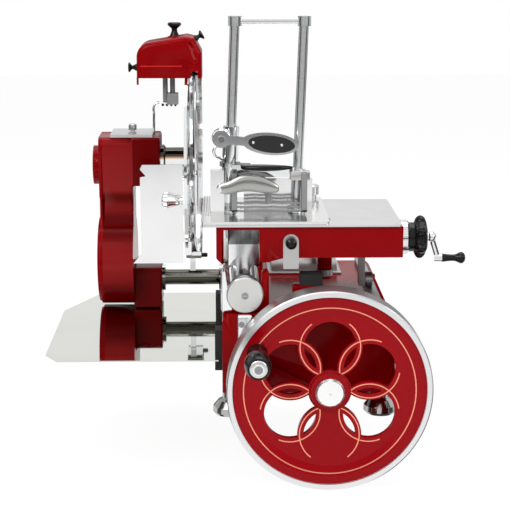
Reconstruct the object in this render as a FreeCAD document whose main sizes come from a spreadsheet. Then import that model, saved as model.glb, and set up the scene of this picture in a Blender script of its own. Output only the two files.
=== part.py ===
import FreeCAD, Part
import math
import os
import re
import Sketcher

# Hand crank flywheel meat slicer, in millimetres.
# Origin: centre of the four feet, on the plane of their undersides.
# +X points right, +Y away from the operator, +Z up.

Vector = FreeCAD.Vector
Rotation = FreeCAD.Rotation

# Local axes of a piece turned into the machine's axes.
TINY = 1e-4
UPRIGHT = Rotation()
ALONG_X = Rotation(Vector(1, 1, 1), 120)      # x, y, z -> Y, Z, X
ALONG_Y = Rotation(Vector(1, 1, 1), 240)      # x, y, z -> Z, X, Y
FACING = Rotation(Vector(1, 0, 0), 90)        # x, y, z -> X, Z, -Y

SIZES = {
    # clearances
    "run_fit": 0.05, "seat_gap": 0.3, "side_play": 0.5,
    # feet
    "foot_half_x": 125, "foot_half_y": 150, "foot_radius": 28, "foot_sole_radius": 24,
    "foot_dome": 28, "foot_stem_radius": 12, "stand_bolt_radius": 4.25, "stand_bolt_depth": 16,
    # base casting
    "base_floor": 46, "base_top": 180, "base_left": -137, "base_right": 140,
    "base_front": -190, "base_rear": 200, "base_wall": 7, "base_round": 16, "base_flare": 6,
    "pad_half": 15, "pad_rise": 14,
    "web_y": 84, "web_thick": 10, "shelf_z": 108, "pier_x": -45,
    "boss_radius": 20, "boss_height": 6,
    "hump_left": -48, "hump_right": 70, "hump_front": 96, "hump_back": 190, "hump_rise": 20,
    "hump_wall": 4, "hump_round": 12, "hump_flange": 3, "hump_flange_width": 8,
    "rail_x": 118, "rail_width": 16, "rail_rise": 8, "rail_margin": 12,
    "stop_x": -1, "stop_y": -150, "stop_width": 42, "stop_depth": 30, "stop_rise": 40,
    "buffer_shift": 9, "buffer_width": 36, "buffer_rise": 18,
    # flywheel
    "wheel_x": 34, "wheel_z": 66, "wheel_front": -250, "wheel_radius": 165,
    "rim_width": 42, "rim_thick": 9, "rim_lip": 9.5, "web_radius": 148, "dish_radius": 125.4,
    "dish_depth": 7, "web_plate": 9, "hub_radius": 32.5, "petal_count": 6,
    "petal_centre": 72.9, "petal_radius": 41.5, "petal_band": 9.9, "hub_cap_radius": 23.5,
    "hub_cap_rise": 7,
    # wheel handle
    "handle_reach": 133, "handle_angle": 150.4, "handle_bolt_radius": 6, "washer_radius": 14,
    "washer_thick": 4, "washer_sink": 3, "grip_length": 84, "grip_root": 16.5, "grip_neck": 14.5,
    "grip_belly": 21.5, "grip_tip": 17,
    # drive line inside
    "shaft_radius": 10, "bush_radius": 15, "drive_y": 155, "drive_z": 160,
    "bevel_teeth": 20, "bevel_pitch": 26, "bevel_face": 8, "tooth_depth": 4.4,
    "tooth_backlash": 0.25, "collar_radius": 14,
    "crank_throw": 80, "crank_arm_z": 204, "crank_arm_thick": 10, "crank_eye": 11,
    "crank_boss": 20, "crank_pin_radius": 6, "rod_thick": 10, "rod_gap": 8, "drive_head": 5,
    "rod_length": 170,
    "rod_eye": 14, "rod_width": 16, "drive_pin_radius": 8,
    # chain drive in the case
    "sprocket_x": -325, "sprocket_thick": 5, "chain_pitch": 12.7, "chain_width": 13,
    "chain_height": 11, "roller_radius": 4.0, "low_teeth": 16, "high_teeth": 12,
    # drive case
    "case_left": -350, "case_right": -247, "case_step": -296, "case_wall": 6,
    "drum_z": 196, "drum_radius": 82, "waist_half": 41, "head_half": 50, "head_low": 320,
    "head_top": 425, "case_round": 14, "cover_thick": 6, "cap_disc_radius": 35,
    "cap_disc_thick": 12, "drum_disc_radius": 78, "drum_disc_thick": 4,
    "foot_block_low": 112, "foot_block_high": 186, "foot_block_half": 40, "head_block_low": 338,
    "lid_thick": 5, "lid_left": -335, "lid_right": -260, "lid_half": 44,
    "lid_knob_x": -297, "lid_knob_radius": 7, "lid_knob_rise": 14,
    # knife
    "knife_z": 370, "knife_x": -187, "knife_radius": 160, "knife_thick": 5, "knife_bevel": 14,
    "knife_dish": 96, "knife_hub_radius": 30, "knife_hub_length": 6.5, "knife_shaft_radius": 9,
    "knife_screw_circle": 21, "knife_screw_radius": 3, "knife_screw_head": 2,
    "bearing_tube_radius": 31, "bearing_tube_right": -195, "knife_bush_length": 20,
    "guard_inner": 165, "guard_outer": 172, "guard_left": -201, "guard_right": -174,
    "guard_gap_low": 62, "guard_gap_high": 72, "guard_plate": 5, "guard_hub_radius": 44,
    "guard_arm": 26,
    "strut_width": 10, "guard_knob_radius": 4, "guard_knob_length": 10,
    "tie_tube_radius": 14, "tie_flange_radius": 24, "tie_flange_thick": 6,
    # deflector
    "deflector_y": 40, "deflector_left": -279, "deflector_right": -205, "deflector_low": 212,
    "deflector_high": 387, "deflector_thick": 2.5, "hinge_x": -197, "hinge_y": 52,
    "hinge_pin_radius": 4, "hinge_low": 250, "hinge_high": 314, "knuckle_radius": 8,
    "knuckle_height": 16, "hinge_block_rise": 24, "pin_handle_z": 325, "pin_handle_length": 37,
    "pin_handle_root": 6, "pin_handle_tip": 12, "pin_handle_gap": 14,
    # receiving tray
    "tray_z": 108, "tray_thick": 2, "tray_left": -424, "tray_right": -143, "tray_front": -214,
    "tray_rear": 236, "tray_clip_x": 22, "tray_clip_y": 36, "tray_cut_x": 58, "tray_cut_y": 130,
    "tray_hook_y": -165, "tray_hook_rear": 80, "tray_hook_width": 30,
    "tray_hook_low": 78, "tray_hook_high": 146,
    # slide bar
    "bar_x": -100, "bar_z": 210, "bar_radius": 21, "bar_front": -182, "bar_rear": 196,
    "bar_cap_radius": 30, "bar_cap_thick": 8, "bar_screw_radius": 5.5, "bar_screw_rise": 2,
    "saddle_depth": 22, "cheek_offset": 27, "cheek_thick": 12, "cheek_rise": 38,
    "post_width": 24, "post_low": 123, "post_neck": 17,
    # carriage
    "carriage_left": -146, "carriage_right": 156, "carriage_front": -165, "carriage_rear": 58,
    "carriage_low": 266, "carriage_top": 318, "carriage_wall": 6, "carriage_round": 9,
    "arch_left": -134, "arch_right": -76, "arch_tooth": 256,
    "sleeve_front": -140, "sleeve_rear": 10, "sleeve_wall": 4, "neck_front": -10, "neck_half": 27,
    "rib_half_x": 16, "rib_half_y": 14, "pin_socket": 8,
    "deck_left": -170, "deck_right": 154, "deck_front": -170, "deck_rear": 65, "deck_thick": 3,
    "deck_round": 6, "carriage_stroke": 160,
    "latch_x": -25.5, "latch_width": 25, "latch_low": 249, "latch_high": 306, "latch_thick": 4,
    "latch_knob_z": 292, "latch_knob_radius": 9.5, "latch_knob_length": 14, "latch_pull": 6,
    "latch_pin_radius": 4,
    "hanger_x": 96, "hanger_thick": 10, "hanger_depth": 26, "hanger_y": -40, "track_radius": 13,
    "roller_width": 12, "roller_pin_radius": 4,
    "feed_y": -120, "feed_z": 291, "end_cap_radius": 28, "end_cap_length": 13,
    "dial_radius": 24, "dial_length": 9,
    # thickness knob and feed crank
    "lobe_count": 6, "lobe_radius": 9, "lobe_circle": 27, "knob_core": 29, "knob_length": 20,
    "screw_radius": 7, "crank_ball": 8.5,
    "crank_drop": 35.5, "crank_lean": 11.5, "crank_rod_radius": 4.5, "crank_end_radius": 6.5,
    "crank_end_length": 13, "crank_grip_length": 38, "crank_grip_waist": 5.5,
    "crank_grip_ball": 9.5, "crank_grip_pin": 3,
    # food table
    "table_left": -170, "table_right": 37, "table_front": -166, "table_rear": 62,
    "table_thick": 5, "table_travel": 96, "rib_pitch": 4, "rib_width": 2.4, "rib_count": 4,
    "rib_rise": 3, "rib_margin": 4, "nut_left": -68, "nut_length": 10, "nut_half": 9.5,
    "clamp_y": -85, "clamp_x": -70, "rod_spacing": 112, "rod_radius": 8, "rod_top": 648,
    "rod_lean": 2.1, "top_bar_radius": 6, "rod_cap_radius": 11, "rod_cap_height": 16,
    "fence_left": -100, "fence_right": 14, "fence_high": 381, "fence_thick": 3, "fence_y": -70,
    "side_post_x": -144, "side_post_width": 22, "side_post_high": 402, "side_post_depth": 18,
    "table_knob_x": 22, "table_knob_y": 50, "table_knob_radius": 11, "table_knob_rise": 24,
    # clamp on the rods
    "sleeve_radius": 13, "sleeve_low": 345, "sleeve_high": 470, "clamp_bar_z": 386,
    "clamp_bar_rise": 16, "clamp_bar_half": 5, "right_sleeve_rise": 26,
    "boss_x": -137, "boss_z": 452, "boss_ball": 16,
    "lever_y": -106, "lever_length": 92, "lever_height": 36, "lever_thick": 7, "lever_neck": 34,
    "inlay_length": 76, "inlay_height": 28, "inlay_proud": 2.5, "lever_pin_radius": 5,
    "lever_eye": 14, "lever_bar": 14, "lever_tilt": 5.5,
    "grip_left": -122, "grip_right": 4, "grip_low": 332, "grip_y": -112, "grip_bar": 4,
    "grip_end": 6, "grip_pitch": 9, "grip_arm": 12,
    "low_lever_z": 404, "low_lever_length": 84, "low_lever_height": 34, "low_lever_thick": 7,
    "low_lever_wall": 4, "low_lever_y": -116,
    "fish_x": -141, "fish_z": 372, "fish_length": 97, "fish_height": 26, "fish_thick": 9,
    "fish_y": -128, "fish_pin_radius": 4, "fish_eye": 8,
    # sharpener
    "post_right": -194.5, "post_half": 15, "post_top": 570,
    "sharp_left": -286, "sharp_right": -171, "sharp_low": 530, "sharp_eave": 588,
    "sharp_ridge": 603, "sharp_shoulder": 574, "sharp_half_y": 46, "sharp_wall": 4,
    "sharp_slope": 14, "sharp_round": 26, "sharp_soft": 9, "skirt_proud": 2.5, "skirt_rise": 7,
    "notch_half": 6, "notch_rise": 22,
    "block_left": -246, "block_right": -190, "block_half": 20, "block_low": 536,
    "block_high": 562, "hanger_half": 12, "hanger_wide": 16,
    "column_y": 142, "column_left": -237, "column_right": -224, "column_radius": 4.5,
    "column_low": 484, "nut_block": 20,
    "top_boss_x": -220, "top_boss_radius": 12, "top_boss_rise": 8, "top_knob_radius": 12,
    "top_knob_rise": 28, "top_knob_stem": 5,
    "side_knob_z": 548, "side_knob_y": 124, "side_knob_radius": 8.5, "side_knob_length": 15,
    "side_pin_radius": 3.5, "stone_radius": 9, "stone_thick": 7, "stone_gap": 2.5,
    "side_knob_push": 4, "tilt_knob_x": -183, "tilt_knob_angle": 60,
}

doc = FreeCAD.newDocument("MeatSlicer")
sheet = doc.addObject("Spreadsheet::Sheet", "Sizes")
kept = []


def fill_sheet():
    """Write every driving size into the sheet, one alias to a row."""
    for row, (word, number) in enumerate(SIZES.items(), start=1):
        sheet.set("A%d" % row, word)
        sheet.set("B%d" % row, str(number))
        sheet.setAlias("B%d" % row, word)
    doc.recompute()


def formula(text):
    """Point every word of a formula at its cell."""
    words = re.compile(r"[a-z][a-z_]*(?![a-z_(])")
    return words.sub(lambda found: "Sizes." + found.group(0), str(text))


def size(text):
    """The present value of a formula."""
    return float(sheet.evalExpression(formula(text)))


def place(piece, at, turn=UPRIGHT):
    """Turn a piece and bind its place to the sheet."""
    piece.Placement = FreeCAD.Placement(Vector(*[size(part) for part in at]), turn)
    for axis, part in zip("xyz", at):
        piece.setExpression("Placement.Base." + axis, formula(part))
    return piece


def keep(label, piece):
    """Name a finished sub-part."""
    piece.Label = label
    kept.append(piece)
    return piece


def box(at, length, width, height):
    """Block with its low corner at a place."""
    block = doc.addObject("Part::Box", "Block")
    for name, part in zip(("Length", "Width", "Height"), (length, width, height)):
        block.setExpression(name, formula(part))
    return place(block, at)


def rod(at, radius, length, turn=UPRIGHT):
    """Round bar that starts at a place and runs along its turned z axis."""
    bar = doc.addObject("Part::Cylinder", "Bar")
    bar.setExpression("Radius", formula(radius))
    bar.setExpression("Height", formula(length))
    return place(bar, at, turn)


def ball(at, radius):
    """Full ball round a place."""
    globe = doc.addObject("Part::Sphere", "Globe")
    globe.setExpression("Radius", formula(radius))
    return place(globe, at)


def join(pieces):
    """One solid from several."""
    whole = doc.addObject("Part::MultiFuse", "Joined")
    whole.Shapes = pieces
    whole.Refine = True
    return whole


def cut(base, tools):
    """A piece less its holes."""
    whole = doc.addObject("Part::Cut", "Machined")
    whole.Base = base
    whole.Tool = tools[0] if len(tools) == 1 else join(tools)
    whole.Refine = True
    return whole


def common(first, second):
    """What two pieces share."""
    whole = doc.addObject("Part::MultiCommon", "Shared")
    whole.Shapes = [first, second]
    return whole


def new_sketch(body, role):
    """Empty sketch on one of the body's own origin planes."""
    drawing = body.newObject("Sketcher::SketchObject", "Profile")
    plane = [item for item in body.Origin.OriginFeatures if item.Role == role][0]
    drawing.AttachmentSupport = [(plane, "")]
    drawing.MapMode = "FlatFace"
    return drawing


def bind(drawing, kind, where, text):
    """Add a driving dimension and tie it to the sheet."""
    number = drawing.addConstraint(Sketcher.Constraint(kind, *where, size(text)))
    drawing.setExpression("Constraints[%d]" % number, formula(text))


def draw_polygon(drawing, points):
    """Closed outline whose corners are all dimensioned from the origin."""
    corners = [Vector(size(point[0]), size(point[1]), 0) for point in points]
    first = drawing.GeometryCount
    count = len(corners)
    for index, corner in enumerate(corners):
        drawing.addGeometry(Part.LineSegment(corner, corners[(index + 1) % count]), False)
    for index in range(count):
        after = first + (index + 1) % count
        drawing.addConstraint(Sketcher.Constraint("Coincident", first + index, 2, after, 1))
    for index, point in enumerate(points):
        bind(drawing, "DistanceX", (-1, 1, first + index, 1), point[0])
        bind(drawing, "DistanceY", (-1, 1, first + index, 1), point[1])


def draw_circle(drawing, across, up, radius):
    """Circle dimensioned from the origin."""
    centre = Vector(size(across), size(up), 0)
    number = drawing.addGeometry(Part.Circle(centre, Vector(0, 0, 1), size(radius)), False)
    bind(drawing, "DistanceX", (-1, 1, number, 3), across)
    bind(drawing, "DistanceY", (-1, 1, number, 3), up)
    bind(drawing, "Radius", (number,), radius)


def plate(points, thick, at=(0, 0, 0), turn=UPRIGHT, rounds=None, holes=()):
    """Flat piece padded from an outline, with rounded corners and round holes."""
    body = doc.addObject("PartDesign::Body", "Plate")
    drawing = new_sketch(body, "XY_Plane")
    draw_polygon(drawing, points)
    pad = body.newObject("PartDesign::Pad", "Pad")
    pad.Profile = drawing
    pad.setExpression("Length", formula(thick))
    doc.recompute()
    if holes:
        bores = new_sketch(body, "XY_Plane")
        for hole in holes:
            draw_circle(bores, *hole)
        pocket = body.newObject("PartDesign::Pocket", "Bores")
        pocket.Profile = bores
        pocket.Type = "ThroughAll"
        pocket.Reversed = True
        doc.recompute()
    if rounds:
        round_corners(body, points, rounds)
    return place(body, at, turn)


def round_corners(body, points, rounds):
    """Fillet the upright edges of a plate at chosen corners of its outline."""
    for radius in sorted(set(rounds.values())):
        chosen = [points[index] for index in rounds if rounds[index] == radius]
        spots = [Vector(size(point[0]), size(point[1]), 0) for point in chosen]
        tip = body.Tip
        names = []
        for number, edge in enumerate(tip.Shape.Edges, start=1):
            ends = [vertex.Point for vertex in edge.Vertexes]
            if len(ends) == 2 and is_upright(ends) and near_any(ends[0], spots):
                names.append("Edge%d" % number)
        fillet = body.newObject("PartDesign::Fillet", "Round")
        fillet.Base = (tip, names)
        fillet.setExpression("Radius", formula(radius))
        doc.recompute()


def soften(body, radius, floor):
    """Fillet the outline of both faces of an extruded body, down to a height of its sketch."""
    tip = body.Tip
    bound = tip.Shape.BoundBox
    names = []
    for number, edge in enumerate(tip.Shape.Edges, start=1):
        reach = edge.BoundBox
        flat = reach.ZLength < TINY
        on_face = min(abs(reach.ZMin - bound.ZMin), abs(reach.ZMin - bound.ZMax)) < TINY
        if flat and on_face and reach.YMax > floor + TINY:
            names.append("Edge%d" % number)
    fillet = body.newObject("PartDesign::Fillet", "Soft")
    fillet.Base = (tip, names)
    fillet.setExpression("Radius", formula(radius))
    doc.recompute()
    return body


def is_upright(ends):
    """True where an edge runs along z."""
    return math.hypot(ends[0].x - ends[1].x, ends[0].y - ends[1].y) < 1e-6


def near_any(point, spots):
    """True where a point lies over one of the spots."""
    return any(math.hypot(point.x - spot.x, point.y - spot.y) < 1e-4 for spot in spots)


def turned(points, at=(0, 0, 0), turn=UPRIGHT):
    """Lathe-turned piece from corners of radius and height, about its own z axis."""
    body = doc.addObject("PartDesign::Body", "Turned")
    drawing = new_sketch(body, "XZ_Plane")
    draw_polygon(drawing, points)
    spin = body.newObject("PartDesign::Revolution", "Spin")
    spin.Profile = drawing
    spin.ReferenceAxis = (drawing, ["V_Axis"])
    spin.Angle = 360
    doc.recompute()
    return place(body, at, turn)


def tube(at, outer, inner, length, turn=UPRIGHT):
    """Round sleeve."""
    return turned([(inner, 0), (outer, 0), (outer, length), (inner, length)], at, turn)


def shaped(shape, at=(0, 0, 0), turn=UPRIGHT):
    """Object around a shape that was worked out from the sheet."""
    piece = doc.addObject("Part::Feature", "Form")
    piece.Shape = shape
    return place(piece, at, turn)


def curved_grip(stations, bore):
    """Grip turned from a smooth outline through (height, radius) stations, with a bore."""
    outline = Part.BSplineCurve()
    outline.interpolate([Vector(size(radius), 0, size(height)) for height, radius in stations])
    low = Vector(size(bore), 0, size(stations[0][0]))
    high = Vector(size(bore), 0, size(stations[-1][0]))
    edges = [outline.toShape(),
             Part.makeLine(outline.EndPoint, high),
             Part.makeLine(high, low),
             Part.makeLine(low, outline.StartPoint)]
    face = Part.Face(Part.Wire(edges))
    return face.revolve(Vector(0, 0, 0), Vector(0, 0, 1), 360)


def toothed_wire(teeth, root, tip, height, backlash):
    """Closed outline of straight-flanked teeth, with the first tooth on the x axis."""
    points = []
    step = 2 * math.pi / teeth
    slack = backlash / tip
    for number in range(teeth):
        for share, radius in ((-0.30, root), (-0.13, tip), (0.13, tip), (0.30, root)):
            angle = number * step + share * step - math.copysign(slack, share)
            points.append(Vector(radius * math.cos(angle), radius * math.sin(angle), height))
    return Part.makePolygon(points + points[:1])


def mitre_gear(phase):
    """Straight bevel gear whose apex is at its origin and whose back faces -z."""
    teeth = int(size("bevel_teeth"))
    large = size("bevel_pitch")
    small = large - size("bevel_face")
    depth = size("tooth_depth")
    backlash = size("tooth_backlash")
    wires = []
    for pitch in (large, small):
        share = pitch / large
        root = pitch - 0.6 * depth * share
        tip = pitch + 0.4 * depth * share
        wire = toothed_wire(teeth, root, tip, -pitch, backlash)
        wires.append(wire)
    gear = Part.makeLoft(wires, True, True)
    gear.rotate(Vector(0, 0, 0), Vector(0, 0, 1), phase)
    return gear


def loop_outline(low_radius, high_radius):
    """Racetrack outline round both chain wheels, in the case's Y and Z."""
    low = Vector(size("drive_y"), size("drive_z"), 0)
    high = Vector(size("drive_y"), size("knife_z"), 0)
    span = high.y - low.y
    tilt = math.asin((low_radius - high_radius) / span)
    sides = []
    for sign in (1, -1):
        normal = Vector(sign * math.cos(tilt), math.sin(tilt), 0)
        sides.append((low + normal * low_radius, high + normal * high_radius))
    right, left = sides
    edges = [Part.makeLine(right[0], right[1]),
             Part.Arc(right[1], high + Vector(0, high_radius, 0), left[1]).toShape(),
             Part.makeLine(left[1], left[0]),
             Part.Arc(left[0], low - Vector(0, low_radius, 0), right[0]).toShape()]
    return Part.Face(Part.Wire(edges))


def make_feet():
    """Four domed feet, each tapped from below for a bolt of the stand."""
    outline = [("stand_bolt_radius", 0), ("foot_sole_radius", 0), ("foot_radius", 5),
               ("foot_radius - 1", "foot_dome / 2"), ("foot_stem_radius + 7", "foot_dome - 4"),
               ("foot_stem_radius", "foot_dome"), ("foot_stem_radius", "base_floor"),
               (0, "base_floor"), (0, "stand_bolt_depth"),
               ("stand_bolt_radius", "stand_bolt_depth")]
    for row, along in (("front", "-foot_half_y"), ("rear", "foot_half_y")):
        for side, across in (("left", "-foot_half_x"), ("right", "foot_half_x")):
            keep("foot_%s_%s" % (row, side), turned(outline, (across, along, 0)))


def make_base():
    """Hollow base casting, open below, with its bearing bosses, inner walls and stop block."""
    outer = plate(base_outline("0"), "base_rear - base_front", (0, "base_rear", 0), FACING,
                  {1: "base_round", 2: "base_round"})
    inner = plate(base_outline("base_wall"), "base_rear - base_front - 2 * base_wall",
                  (0, "base_rear - base_wall", 0), FACING)
    shell = cut(outer, [inner])
    depth = "base_top - base_floor - 2"
    web = box(("base_left + 2", "web_y", "base_floor + 1"), "base_right - base_left - 4",
              "web_thick", depth)
    shelf = box(("pier_x", "web_y", "shelf_z"), "base_right - pier_x - 3",
                "base_rear - web_y - 2", "web_thick")
    pier = box(("pier_x", "web_y", "shelf_z"), "web_thick", "base_rear - web_y - 2",
               "base_top - shelf_z - 2")
    boss = rod(("wheel_x", "base_front + 1", "wheel_z"), "boss_radius", "boss_height + 1", FACING)
    stop = box(("stop_x - stop_width / 2", "stop_y - stop_depth / 2", "base_top - 2"),
               "stop_width", "stop_depth", "stop_rise + 2")
    post = box(("bar_x - post_width / 2", "base_front - post_neck + 3", "post_low"), "post_width",
               "post_neck", "base_top - post_low")
    solid = join([shell, web, shelf, pier, boss, stop, post] + foot_pads())
    main = rod(("wheel_x", "web_y + web_thick + 1", "wheel_z"), "bush_radius",
               "web_y + web_thick - base_front + boss_height + 2", FACING)
    cross = rod(("base_left - 1", "drive_y", "drive_z"), "bush_radius",
                "pier_x + web_thick - base_left + 2", ALONG_X)
    upright = rod(("wheel_x", "drive_y", "shelf_z - 1"), "bush_radius", "web_thick + 2")
    hatch = box(("hump_left + hump_wall", "hump_front + hump_wall", "base_top - base_wall - 1"),
                "hump_right - hump_left - 2 * hump_wall",
                "hump_back - hump_front - 2 * hump_wall", "base_wall + 2")
    keep("base_casting", cut(solid, [main, cross, upright, hatch]))


def foot_pads():
    """Solid pads inside the base's side walls, one over each foot."""
    pads = []
    for along in ("-foot_half_y", "foot_half_y"):
        near = along + " - pad_half"
        pads.append(box(("base_left + 2", near, "base_floor"),
                        "pad_half - foot_half_x - base_left - 2", "2 * pad_half", "pad_rise"))
        pads.append(box(("foot_half_x - pad_half", near, "base_floor"),
                        "base_right + 2 - foot_half_x + pad_half", "2 * pad_half", "pad_rise"))
    return pads


def base_outline(inset):
    """Front view of the base, drawn in by a wall."""
    low = "base_floor" if inset == "0" else "base_floor - 1"
    return [("base_left + " + inset, low),
            ("base_left + " + inset, "base_top - " + inset),
            ("base_right - " + inset, "base_top - " + inset),
            ("base_right + base_flare - " + inset, low)]


def make_gear_cover():
    """Grey domed cover over the gears, open below, with a flange on the base."""
    length = "hump_right - hump_left"
    profile = [("hump_front", 0), ("hump_front", "hump_rise"), ("hump_back", "hump_rise"),
               ("hump_back", 0)]
    inside = [("hump_front + hump_wall", -1), ("hump_front + hump_wall", "hump_rise - hump_wall"),
              ("hump_back - hump_wall", "hump_rise - hump_wall"), ("hump_back - hump_wall", -1)]
    dome = plate(profile, length, ("hump_left", 0, "base_top"), ALONG_X,
                 {1: "hump_round", 2: "hump_round"})
    flange = box(("hump_left - hump_flange_width", "hump_front - hump_flange_width", "base_top"),
                 length + " + 2 * hump_flange_width",
                 "hump_back - hump_front + hump_flange_width", "hump_flange")
    hollow = plate(inside, length + " - 2 * hump_wall", ("hump_left + hump_wall", 0, "base_top"),
                   ALONG_X)
    passage = rod(("wheel_x", "drive_y", "base_top"), "shaft_radius + side_play",
                  "hump_rise + 2")
    keep("gear_cover", cut(join([dome, flange]), [hollow, passage]))


def make_base_fittings():
    """Roller rail, rubber buffer and the bushes of the three shafts."""
    rail = box(("rail_x - rail_width / 2", "base_front + rail_margin", "base_top"), "rail_width",
               "base_rear - base_front - 2 * rail_margin", "rail_rise")
    keep("roller_rail", rail)
    buffer = box(("stop_x - buffer_width / 2 + buffer_shift", "stop_y - stop_depth / 2",
                  "base_top + stop_rise"), "buffer_width", "stop_depth", "buffer_rise")
    keep("stop_buffer", buffer)
    bore = "shaft_radius + run_fit"
    keep("main_bush_front", tube(("wheel_x", "base_front + base_wall", "wheel_z"), "bush_radius",
                                 bore, "base_wall + boss_height", FACING))
    keep("main_bush_rear", tube(("wheel_x", "web_y + web_thick", "wheel_z"), "bush_radius", bore,
                                "web_thick", FACING))
    keep("upright_bush", tube(("wheel_x", "drive_y", "shelf_z"), "bush_radius", bore,
                              "web_thick"))
    keep("cross_bush_inner", tube(("pier_x", "drive_y", "drive_z"), "bush_radius", bore,
                                  "web_thick", ALONG_X))


def petal_places():
    """Angles of the petal circles, the first one thirty degrees above +X."""
    count = int(size("petal_count"))
    return [360.0 / count * (number + 0.5) for number in range(count)]


def petal_tool(deep):
    """Openings of the wheel: discs that overlap, less the bands of their neighbours."""
    reach = size("petal_centre")
    open_radius = size("petal_radius")
    band = size("petal_band")
    angles = petal_places()
    bare = len(angles) - 2
    centres = [Vector(reach * math.cos(math.radians(angle)), reach * math.sin(math.radians(angle)),
                      -deep) for angle in angles]
    bands = []
    for centre in centres:
        outer = Part.makeCylinder(open_radius + band, 2 * deep, centre)
        bands.append(outer.cut(Part.makeCylinder(open_radius, 2 * deep, centre)))
    tools = []
    for number, centre in enumerate(centres):
        if number == bare:
            continue
        opening = Part.makeCylinder(open_radius, 2 * deep, centre)
        opening = opening.cut(bands[number - 1]).cut(bands[(number + 1) % len(bands)])
        tools.append(opening)
    whole = tools[0].fuse(tools[1:])
    return whole.cut(Part.makeCylinder(size("hub_radius") + 2, 4 * deep, Vector(0, 0, -2 * deep)))


def make_flywheel():
    """Cast flywheel: broad rim, dished web pierced by six petal circles, long hub."""
    back = "wheel_front - base_front + boss_height + side_play"
    outline = [("shaft_radius", back), ("hub_radius - 8", back),
               ("hub_radius", "-web_plate - dish_depth"),
               ("dish_radius", "-web_plate - dish_depth"), ("web_radius", "-web_plate"),
               ("wheel_radius - rim_thick", "-web_plate"),
               ("wheel_radius - rim_thick", "-rim_width"), ("wheel_radius", "-rim_width"),
               ("wheel_radius", -2), ("wheel_radius - 2", 0),
               ("wheel_radius - rim_lip", 0), ("wheel_radius - rim_lip", -3),
               ("web_radius - 6", -3), ("dish_radius", "-dish_depth"),
               ("hub_radius", "-dish_depth"), ("hub_radius - 2", -3), ("shaft_radius", -3)]
    wheel = turned(outline, ("wheel_x", "wheel_front", "wheel_z"), FACING)
    through = 2 * (size("web_plate") + size("dish_depth"))
    openings = shaped(petal_tool(through), ("wheel_x", "wheel_front", "wheel_z"), FACING)
    angle = math.radians(size("handle_angle"))
    across = "wheel_x + handle_reach * %.8f" % math.cos(angle)
    upward = "wheel_z + handle_reach * %.8f" % math.sin(angle)
    seat = rod((across, "wheel_front + web_plate + dish_depth + 4", upward),
               "handle_bolt_radius", "web_plate + dish_depth + 12", FACING)
    spot_face = rod((across, "wheel_front + washer_sink", upward), "washer_radius + seat_gap",
                    "2 * washer_sink", FACING)
    keep("flywheel", cut(wheel, [openings, seat, spot_face]))
    return across, upward


def make_handle(across, upward):
    """Bolt, washer and loose grip of the flywheel."""
    bolt = [(0, "-dish_depth - web_plate"), ("handle_bolt_radius", "-dish_depth - web_plate"),
            ("handle_bolt_radius", "washer_thick + grip_length + 1"),
            ("handle_bolt_radius + 3", "washer_thick + grip_length + 1"),
            ("handle_bolt_radius + 3", "washer_thick + grip_length + 4"),
            (0, "washer_thick + grip_length + 4")]
    keep("handle_bolt", turned(bolt, (across, "wheel_front", upward), FACING))
    washer = tube((across, "wheel_front + washer_sink", upward), "washer_radius",
                  "handle_bolt_radius", "washer_thick + 2", FACING)
    keep("handle_washer", washer)
    stations = [("0", "grip_root"), ("grip_length * 0.18", "grip_neck"),
                ("grip_length * 0.66", "grip_belly"), ("grip_length * 0.92", "grip_belly - 2"),
                ("grip_length", "grip_tip")]
    grip = curved_grip(stations, "handle_bolt_radius + run_fit")
    keep("wheel_grip", shaped(grip, (across, "wheel_front - washer_thick + 0.5", upward), FACING))


def make_main_shaft():
    """Main shaft through the base, its mitre gear and the hub cap."""
    end = "wheel_front - drive_y + bevel_pitch - bevel_face"
    outline = [(0, -6), ("shaft_radius", -6), ("shaft_radius", end), (0, end)]
    keep("main_shaft", turned(outline, ("wheel_x", "wheel_front", "wheel_z"), FACING))
    cap = [(0, -3), ("hub_cap_radius", -3), ("hub_cap_radius", "hub_cap_rise - 4"),
           ("hub_cap_radius - 3", "hub_cap_rise - 0.4"), (0, "hub_cap_rise")]
    keep("hub_cap", turned(cap, ("wheel_x", "wheel_front", "wheel_z"), FACING))
    keep("main_gear", gear_on_shaft(0, ("wheel_x", "drive_y", "wheel_z"), ALONG_Y))


def gear_on_shaft(phase, apex, turn):
    """Mitre gear with its bore, set by the point where the shafts' axes cross."""
    gear = mitre_gear(phase)
    bore = Part.makeCylinder(size("shaft_radius"), 2 * size("bevel_pitch"),
                             Vector(0, 0, -2 * size("bevel_pitch")))
    return shaped(gear.cut(bore), apex, turn)


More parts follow.
